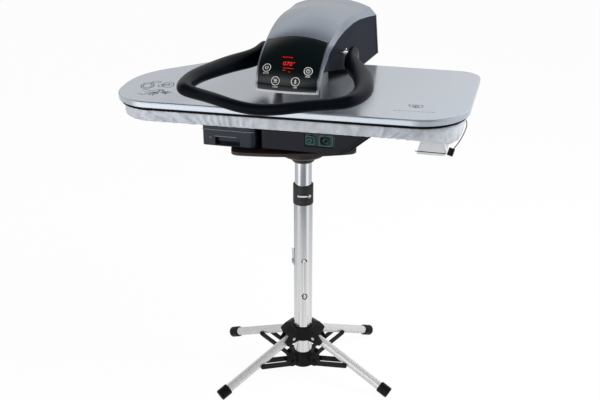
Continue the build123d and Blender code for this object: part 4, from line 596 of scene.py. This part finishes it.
mast_tubes = ["lower_tube", "upper_tube"]
arrow = [([(-22, 0), (19, 0)], False), ([(13, 6), (20, 0), (13, -6)], False),
         ([(-22, 2.6), (6, 2.6)], False)]
mark_at("strap_arrow", STRAP_PIXEL, ["mast_collar"], arrow, 2.4, white_print, "stand",
        PRINT_LIFT)
stitches = [([(-20 + 5 * i, side), (-17 + 5 * i, side)], False) for i in range(9) for side in (-19, 19)]
mark_at("strap_stitches", STRAP_PIXEL, ["mast_collar"], stitches, 0.9, grey_print, "stand")
hook = [(turned_arc(RIM_R, RIM_R, -2.2, 0.25, 17), False)]
mark_at("keyhole_rim", KEYHOLE_PIXEL, mast_tubes, hook, RIM_STROKE, ink_black, "stand",
        PRINT_LIFT)
grommet = [(turned_arc(GROMMET_HALF_W, GROMMET_HALF_H, 0.0, 2 * pi / 24, 24), True)]
mark_at("pin_grommet", GUIDE_PIN_PIXEL, mast_tubes, grommet, RIM_STROKE, ink_black, "stand",
        PRINT_LIFT)
mark_at("height_scale", HEIGHT_SCALE_PIXEL, ["upper_tube"], [([(0, -22), (0, 22)], False)], 4.4, cream_card,
        "mast")
# painted highlights: pale lines along the lid's seam and the recess's top lip stand in for light caught on
# the clear plastic's edges
tank_highlight_lines = [([(-88, 9), (70, 9)], False), ([(-49, -10), (18, -10)], False), ([(-66, -15), (-58, -15)], False)]
mark_at("tank_painted_highlights", TANK_PIXEL, ["water_tank", "tank_lid"], tank_highlight_lines, 1.5, painted_lip_highlight, "tank")
bezel = ["switch_bezel", "power_button", "accessory_socket"]
mark_at("bezel_fill", BUTTON_PIXEL, bezel, [([(-1, 0), (1, 0)], False)], 22.0, teal_glass, "mast",
        GLASS_LIFT)
# painted teal glints: glowing outlines round the button and the socket stand in for glints on the bezel
button_marks = [([(-12, -12), (12, -12), (12, 12), (-12, 12)], True), (ring(-1, 0, 5.5), True)]
mark_at("bezel_painted_glints", BUTTON_PIXEL, bezel, button_marks, 3.2, painted_teal_glint, "mast")
socket_box = [(-19, -15), (15, -15), (19, -10), (19, 15), (-15, 15), (-19, 10)]
socket_marks = [(socket_box, True), (ring(0, 0, 7), True)]
mark_at("socket_painted_glints", SOCKET_PIXEL, bezel, socket_marks, 2.6, painted_teal_glint, "mast")
# painted shadow: a black stroke along the iron rest's lower edge stands in for the shadow line under it
mark_at("rest_painted_shadow_line", REST_PIXEL, ["rest_bracket"], [([(-44, 0), (40, 0)], False)], 2.4, ink_black, "mast")


# Silver cloth over the board
CLOTH_OUTLINE = [(-519.0, -232.0), (488.0, -194.0), (500.0, 302.0), (-274.0, 302.0), (-541.0, 30.0)]
CLOTH_RADII = [125.0, 150.0, 65.0, 230.0, 230.0]
CLOTH_INSET = 17.0
CLOTH_TOP = 955.0
CLOTH_FOOT = 919.0
CLOTH_HEM = 44.0
CLOTH_T = 0.0016
EDGE_R = 5.0
RIM_SPLIT = 0.004
CORNER_SEGMENTS = 14
EDGE_ROWS = 4
SKIRT_ROWS = 7
HEM_ROWS = 7
FOLD_LINE_Y = -205.0
STEEP_SIDE = 0.34
RANDOM_FOLDS = 30
QUIET_FROM = (-90, -212)
QUIET_TO = (196, -204)
QUIET = 0.35
SAG_PLACE = (462, -128)
SAG = 22.0 * MM
SAG_REACH = 0.070
HEM_WAVE = 0.4 * MM


def inset_outline(points, radii, inset):
    """Corners and radii of the outline drawn in by inset."""
    count = len(points)
    lines = []
    for i in range(count):
        a, b = Vector(points[i]), Vector(points[(i + 1) % count])
        along = (b - a).normalized()
        inward = Vector((-along.y, along.x))
        lines.append((a + inward * inset, along))
    corners = []
    for i in range(count):
        p, u = lines[i - 1]
        q, v = lines[i]
        t = ((q - p).x * v.y - (q - p).y * v.x) / (u.x * v.y - u.y * v.x)
        corners.append(p + u * t)
    return corners, [r - inset for r in radii]


def rounded_face(corners, radii, height):
    """One face with its corners rounded, in metres."""
    bm = bmesh.new()
    verts = [bm.verts.new((c.x * MM, c.y * MM, height * MM)) for c in corners]
    face = bm.faces.new(verts)
    count = len(corners)
    for i in range(count):
        before = (corners[i - 1] - corners[i]).normalized()
        after = (corners[(i + 1) % count] - corners[i]).normalized()
        half = before.angle(after) / 2
        reach = radii[i] / tan(half)
        bmesh.ops.bevel(bm, geom=[verts[i]], offset=reach * MM, affect="VERTICES",
                        segments=CORNER_SEGMENTS, profile=0.5, material=-1)
    return bm


def split_long(bm, edges, longest):
    """Cuts the edges that are longer than longest."""
    for edge in list(edges):
        cuts = int(edge.calc_length() / longest)
        if cuts > 0:
            bmesh.ops.subdivide_edges(bm, edges=[edge], cuts=cuts)


def rim_walk(bm):
    """Vertices of the open edge in order."""
    rim = [e for e in bm.edges if len(e.link_faces) == 1]
    start = min({v for e in rim for v in e.verts}, key=lambda v: (v.co.x, v.co.y))
    order = [start]
    edge = next(e for e in rim if start in e.verts)
    while True:
        nxt = edge.other_vert(order[-1])
        if nxt == start:
            break
        order.append(nxt)
        edge = next(e for e in nxt.link_edges if len(e.link_faces) == 1 and e != edge)
    return order


corners, radii = inset_outline(CLOTH_OUTLINE, CLOTH_RADII, CLOTH_INSET + EDGE_R)
bm = rounded_face(corners, radii, CLOTH_TOP)
split_long(bm, list(bm.edges), RIM_SPLIT)
walk = rim_walk(bm)
count = len(walk)
turned = sum(walk[i - 1].co.x * walk[i].co.y - walk[i].co.x * walk[i - 1].co.y for i in range(count))
if turned < 0:
    walk.reverse()
distance = [0.0]
for i in range(1, count):
    distance.append(distance[-1] + (walk[i].co - walk[i - 1].co).length)
girth = distance[-1] + (walk[0].co - walk[-1].co).length
outward = []
for i in range(count):
    along = (walk[(i + 1) % count].co - walk[i - 1].co).normalized()
    outward.append(Vector((along.y, -along.x, 0.0)))
start_xy = [v.co.copy() for v in walk]


def round_at(x, y):
    """Distance along the rim nearest to a point given in millimetres."""
    spot = Vector((x * MM, y * MM, start_xy[0].z))
    return distance[min(range(count), key=lambda i: (start_xy[i] - spot).length)]


def apart(a, b):
    """Signed distance from b to a round the rim."""
    gap = (a - b) % girth
    return gap - girth if gap > girth / 2 else gap


def bell(gap, width):
    """One in the middle, falling off with the gap."""
    return 2.718 ** (-(gap / width) ** 2)


# Folds of the front: place along the board, lean, width and depth in millimetres, and the steep side
chance = random.Random(7)
folds = []
for x, lean, wide, proud, steep in (
        (-470, 34, 7, 3.0, 1), (-436, 44, 7, 3.4, 1), (-404, 40, 6, 2.6, 1), (-384, 52, 10, 5.6, 1),
        (-346, 46, 8, 3.4, 1), (-292, 44, 10, 5.2, 1), (-262, 26, 6, 3.2, -1), (-236, 14, 6, 4.6, 1),
        (-218, 10, 5, 4.4, 1), (-200, 8, 6, 4.8, -1), (-181, 6, 5, 4.6, 1), (-163, 5, 6, 4.4, 1),
        (-144, 4, 5, 4.0, -1), (-124, 4, 6, 3.4, 1), (-98, 2, 8, 2.4, 1), (150, -12, 12, 2.0, -1),
        (204, -16, 10, 2.6, 1), (266, -6, 6, 5.4, -1), (300, -30, 8, 4.6, -1), (326, -40, 7, 5.6, -1),
        (354, -40, 8, 5.8, -1), (374, -30, 6, 4.8, -1), (396, -22, 6, 3.4, 1)):
    folds.append((round_at(x, FOLD_LINE_Y), lean * MM, wide * MM, proud * MM, steep))
quiet_from = round_at(*QUIET_FROM)
quiet_to = round_at(*QUIET_TO)
for i in range(RANDOM_FOLDS):
    at = chance.uniform(0.0, girth)
    quiet = QUIET if quiet_from < at < quiet_to else 1.0
    folds.append((at, chance.uniform(-26, 26) * MM, chance.uniform(4, 9) * MM,
                  chance.uniform(0.6, 1.8) * quiet * MM, chance.choice((-1, 1))))
sag_at = round_at(*SAG_PLACE)


def proud_at(d, drop):
    """How far the skirt stands out at a distance round the rim and a drop from 0 to 1."""
    total = 0.0
    for at, lean, wide, proud, steep in folds:
        gap = apart(d, at + lean * (drop - 0.5))
        if abs(gap) < 3 * wide:
            side = wide * (STEEP_SIDE if gap * steep > 0 else 1.0)
            total += proud * bell(gap, side) * min(1.0, 0.25 + 1.1 * drop)
    return total


def sag(d):
    """How far the skirt hangs lower at a distance round the rim."""
    return SAG * bell(apart(d, sag_at), SAG_REACH) + HEM_WAVE * sin(d * 260.0) * sin(d * 47.0)


# Rows of the skirt: how far out, how high, and the drop from 0 to 1, which turns negative along the hem
skirt = CLOTH_TOP - CLOTH_FOOT - 2 * EDGE_R
rows = []
for i in range(1, EDGE_ROWS + 1):
    a = pi / 2 * i / EDGE_ROWS
    rows.append((EDGE_R * sin(a), CLOTH_TOP - EDGE_R * (1 - cos(a)), 0.12 * i / EDGE_ROWS))
for i in range(1, SKIRT_ROWS + 1):
    rows.append((EDGE_R, CLOTH_TOP - EDGE_R - skirt * i / SKIRT_ROWS, i / SKIRT_ROWS))
for i in range(1, EDGE_ROWS + 1):
    a = pi / 2 * i / EDGE_ROWS
    rows.append((EDGE_R * cos(a), CLOTH_FOOT + EDGE_R * (1 - sin(a)), 1.0))
for i in range(1, HEM_ROWS + 1):
    rows.append((-CLOTH_HEM * i / HEM_ROWS, CLOTH_FOOT, -i / HEM_ROWS))

ring_verts = list(walk)
for outset, height, drop in rows:
    ring_edges = [e for e in bm.edges if len(e.link_faces) == 1]
    made = bmesh.ops.extrude_edge_only(bm, edges=ring_edges)
    fresh = {v for v in made["geom"] if isinstance(v, bmesh.types.BMVert)}
    new_ring = []
    for i, vert in enumerate(ring_verts):
        new = next(e.other_vert(vert) for e in vert.link_edges if e.other_vert(vert) in fresh)
        d = distance[i]
        if drop >= 0:
            out = outset * MM + proud_at(d, drop) * min(1.0, outset / EDGE_R + 0.2)
            low = sag(d) * drop
        else:
            out = outset * MM
            low = sag(d) * (1 + drop) + 0.6 * (proud_at(d, 1.0) * (1 + drop) ** 0.5)
        new.co = start_xy[i] + outward[i] * out
        new.co.z = height * MM - low
        new_ring.append(new)
    ring_verts = new_ring
bmesh.ops.recalc_face_normals(bm, faces=bm.faces)
for face in bm.faces:
    face.smooth = True
cloth = piece_of("board_cloth", mesh_of("board_cloth", bm), silver_cloth, "mast")
thick = cloth.modifiers.new("cloth_thickness", "SOLIDIFY")
thick.thickness = CLOTH_T
thick.offset = -1.0
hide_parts("board_cover")


# Foam pad under the cloth
FOAM_INSET = 26.0
FOAM_BOTTOM = 923.2
FOAM_RISE = 27.8
FOAM_EDGE = 6.0
FOAM_SPLIT = 0.02

corners, radii = inset_outline(CLOTH_OUTLINE, CLOTH_RADII, FOAM_INSET)
bm = rounded_face(corners, radii, FOAM_BOTTOM)
split_long(bm, list(bm.edges), FOAM_SPLIT)
lifted = bmesh.ops.extrude_face_region(bm, geom=list(bm.faces))
top = [v for v in lifted["geom"] if isinstance(v, bmesh.types.BMVert)]
bmesh.ops.translate(bm, verts=top, vec=(0, 0, FOAM_RISE * MM))
top_edges = [e for e in bm.edges if all(v in top for v in e.verts) and len(e.link_faces) == 2]
bmesh.ops.bevel(bm, geom=top_edges, offset=FOAM_EDGE * MM, affect="EDGES", segments=4, profile=0.5,
                material=-1)
bmesh.ops.recalc_face_normals(bm, faces=bm.faces)
for face in bm.faces:
    face.smooth = True
foam = piece_of("board_foam", mesh_of("board_foam", bm), foam_skin, "mast")
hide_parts("pad_foam")


# Drawcord at the right corner
CORD_D = 0.003
CORD_POINTS = [
    (477.6, 8.0, 922.0), (481.2, -10.0, 921.5), (482.0, -45.0, 920.5), (478.0, -88.0, 914.0),
    (469.0, -120.0, 902.0), (458.0, -138.0, 890.0), (451.0, -146.0, 882.0),
]
line = bpy.data.curves.new("board_drawcord", "CURVE")
line.dimensions = "3D"
line.bevel_depth = CORD_D / 2
line.bevel_resolution = 4
line.use_fill_caps = True
spline = line.splines.new("NURBS")
spline.points.add(len(CORD_POINTS) - 1)
for spot, (x, y, z) in zip(spline.points, CORD_POINTS):
    spot.co = (x * MM, y * MM, z * MM, 1.0)
spline.order_u = 3
spline.use_endpoint_u = True
line.resolution_u = 8
line.materials.append(cord_cloth)
drawcord = bpy.data.objects.new("board_drawcord", line)
scene.collection.objects.link(drawcord)
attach(drawcord, "mast")
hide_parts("drawcord")


# Floor, world and lamps
def join_math(tree, operation, first, second):
    node = tree.nodes.new("ShaderNodeMath")
    node.operation = operation
    tree.links.new(first, node.inputs[0])
    tree.links.new(second, node.inputs[1])
    return node.outputs["Value"]


def direct_ray(tree):
    """One where the backdrop is seen straight, in a reflection or through something clear."""
    path = tree.nodes.new("ShaderNodeLightPath")
    mirrored = join_math(tree, "MAXIMUM", path.outputs["Is Glossy Ray"], path.outputs["Is Transmission Ray"])
    return join_math(tree, "MAXIMUM", path.outputs["Is Camera Ray"], mirrored)


def ahead_of(tree, vector, heading):
    """How far a vector points along a level heading."""
    node = tree.nodes.new("ShaderNodeVectorMath")
    node.operation = "DOT_PRODUCT"
    node.inputs[1].default_value = (heading.x, heading.y, 0.0)
    tree.links.new(vector, node.inputs[0])
    return node.outputs["Value"]


def stops(tree, value, levels):
    """Grey ramp through the given (place, level) stops."""
    node = tree.nodes.new("ShaderNodeValToRGB")
    ramp = node.color_ramp
    while len(ramp.elements) < len(levels):
        ramp.elements.new(0.5)
    for element, (place, level) in zip(ramp.elements, levels):
        element.position = place
        element.color = (level * 0.94, level * 0.985, level * 1.04, 1.0)
    tree.links.new(value, node.inputs["Fac"])
    return node.outputs["Color"]


def white_unless(tree, share, color):
    """White that turns into a colour with the share."""
    node = tree.nodes.new("ShaderNodeMix")
    node.data_type = "RGBA"
    node.inputs[6].default_value = (1.0, 1.0, 1.0, 1.0)
    tree.links.new(share, node.inputs[0])
    tree.links.new(color, node.inputs[7])
    return node.outputs[2]


def one_more(tree, value):
    node = tree.nodes.new("ShaderNodeMath")
    node.operation = "ADD"
    node.inputs[1].default_value = 1.0
    tree.links.new(value, node.inputs[0])
    return node.outputs["Value"]


# What polished pieces mirror: grey levels of the floor by heading (0 away from the camera, 1 towards it) and
# by distance, grey bands of the sky by height, a dark corner of the room and a bright card
FLOOR_WHITE = 0.965
FLOOR_R = 9.0
FLOOR_DROP = 0.0005
TO_CAMERA = Vector((camera.location.x, camera.location.y)).normalized()
FLOOR_SECTORS = ((0.0, 0.50), (0.55, 0.52), (0.68, 1.0), (0.86, 1.0), (0.92, 0.20), (1.0, 0.17))
FLOOR_RINGS = ((0.0, 0.0), (0.12, 0.05), (0.40, 0.62), (0.50, 1.0), (0.66, 1.0), (0.80, 0.25), (1.0, 0.0))
RINGS_REACH = 3.0
SKY_BANDS = ((0.0, 0.55), (0.25, 0.66), (0.45, 1.0), (0.60, 0.80), (0.72, 0.33), (0.82, 0.09), (1.0, 0.06))
BAND_GAIN = 0.35
DARK_CORNER = Matrix.Rotation(radians(20.0), 2) @ TO_CAMERA
DARK_LEVEL = 0.14
CARD_SIDE = Matrix.Rotation(radians(-38.0), 2) @ TO_CAMERA
CARD_GAIN = 1.5
CARD_FROM, CARD_FULL = 0.74, 0.90
CARD_NEAR, CARD_FAR = 1.9, 2.4
SKY_LIGHT = (0.72, 0.74, 0.78)
SKY_STRENGTH = 0.42


def white_floor():
    """White floor that keeps the shadow, graded where a polished piece mirrors it."""
    bm = bmesh.new()
    bmesh.ops.create_circle(bm, cap_ends=True, segments=96, radius=FLOOR_R)
    bmesh.ops.translate(bm, verts=bm.verts, vec=(0, 0, -FLOOR_DROP))
    floor = bpy.data.objects.new("floor", mesh_of("floor", bm))
    scene.collection.objects.link(floor)
    pale, tree, shader = new_finish("pale_floor", (0.90, 0.90, 0.90), 0.9)
    mirrored = tree.nodes.new("ShaderNodeLightPath").outputs["Is Glossy Ray"]
    spot = tree.nodes.new("ShaderNodeTexCoord").outputs["Object"]
    length = tree.nodes.new("ShaderNodeVectorMath")
    length.operation = "LENGTH"
    tree.links.new(spot, length.inputs[0])
    away = length.outputs["Value"]
    cosine = join_math(tree, "DIVIDE", ahead_of(tree, spot, TO_CAMERA), away)
    sector = stops(tree, spread(tree, cosine, 0.0, 1.0, -1.0, 1.0), FLOOR_SECTORS)
    rings = stops(tree, spread(tree, away, 0.0, 1.0, 0.0, RINGS_REACH), FLOOR_RINGS)
    glow = tree.nodes.new("ShaderNodeEmission")
    graded = white_unless(tree, join_math(tree, "MULTIPLY", rings, mirrored), sector)
    tree.links.new(graded, glow.inputs["Color"])
    side = join_math(tree, "DIVIDE", ahead_of(tree, spot, CARD_SIDE), away)
    card = join_math(tree, "MULTIPLY", spread(tree, side, 0.0, CARD_GAIN, CARD_FROM, CARD_FULL),
                     spread(tree, away, 0.0, 1.0, CARD_NEAR, CARD_FAR))
    card = join_math(tree, "MULTIPLY", card, mirrored)
    tree.links.new(one_more(tree, card), glow.inputs["Strength"])
    seen = tree.nodes.new("ShaderNodeMixShader")
    tree.links.new(spread(tree, direct_ray(tree), 0.0, FLOOR_WHITE, 0.0, 1.0), seen.inputs["Fac"])
    tree.links.new(shader.outputs["BSDF"], seen.inputs[1])
    tree.links.new(glow.outputs["Emission"], seen.inputs[2])
    tree.links.new(seen.outputs["Shader"], tree.nodes["Material Output"].inputs["Surface"])
    floor.data.materials.append(pale)


def studio_sky():
    """Even light all round, white behind the object, with bands where a polished piece mirrors it."""
    world = bpy.data.worlds.new("studio")
    scene.world = world
    world.use_nodes = True
    tree = world.node_tree
    around = tree.nodes["Background"]
    around.inputs["Color"].default_value = (*SKY_LIGHT, 1.0)
    around.inputs["Strength"].default_value = SKY_STRENGTH
    mirrored = tree.nodes.new("ShaderNodeLightPath").outputs["Is Glossy Ray"]
    heading = tree.nodes.new("ShaderNodeTexCoord").outputs["Generated"]
    parts = tree.nodes.new("ShaderNodeSeparateXYZ")
    tree.links.new(heading, parts.inputs["Vector"])
    corner = spread(tree, ahead_of(tree, heading, DARK_CORNER), 1.0, DARK_LEVEL, CARD_FROM, CARD_FULL)
    bands = join_math(tree, "MULTIPLY", stops(tree, parts.outputs["Z"], SKY_BANDS), corner)
    backdrop = tree.nodes.new("ShaderNodeBackground")
    tree.links.new(white_unless(tree, mirrored, bands), backdrop.inputs["Color"])
    card = spread(tree, ahead_of(tree, heading, CARD_SIDE), BAND_GAIN, CARD_GAIN + BAND_GAIN,
                  CARD_FROM, CARD_FULL)
    card = join_math(tree, "MULTIPLY", card, mirrored)
    tree.links.new(one_more(tree, card), backdrop.inputs["Strength"])
    seen = tree.nodes.new("ShaderNodeMixShader")
    tree.links.new(direct_ray(tree), seen.inputs["Fac"])
    tree.links.new(around.outputs["Background"], seen.inputs[1])
    tree.links.new(backdrop.outputs["Background"], seen.inputs[2])
    tree.links.new(seen.outputs["Shader"], tree.nodes["World Output"].inputs["Surface"])


def soft_lamp(name, place, target, size, watts):
    """Area lamp that lights the object and isn't mirrored."""
    lamp = bpy.data.lights.new(name, "AREA")
    lamp.shape = "RECTANGLE"
    lamp.size, lamp.size_y = size
    lamp.energy = watts
    holder = bpy.data.objects.new(name, lamp)
    holder.location = place
    holder.rotation_euler = (Vector(target) - Vector(place)).to_track_quat("-Z", "Y").to_euler()
    holder.visible_camera = False
    holder.visible_glossy = False
    scene.collection.objects.link(holder)


white_floor()
studio_sky()
soft_lamp("lamp_left", (-2.3, -2.2, 1.7), (0, 0, 0.8), (1.6, 1.6), 52.0)
soft_lamp("lamp_right", (2.4, -1.2, 1.9), (0, 0, 0.7), (0.9, 1.6), 14.0)
soft_lamp("lamp_top", (1.9, 0.25, 2.5), (0, 0, 0.9), (1.3, 1.3), 82.0)

scene.view_settings.view_transform = "Standard"
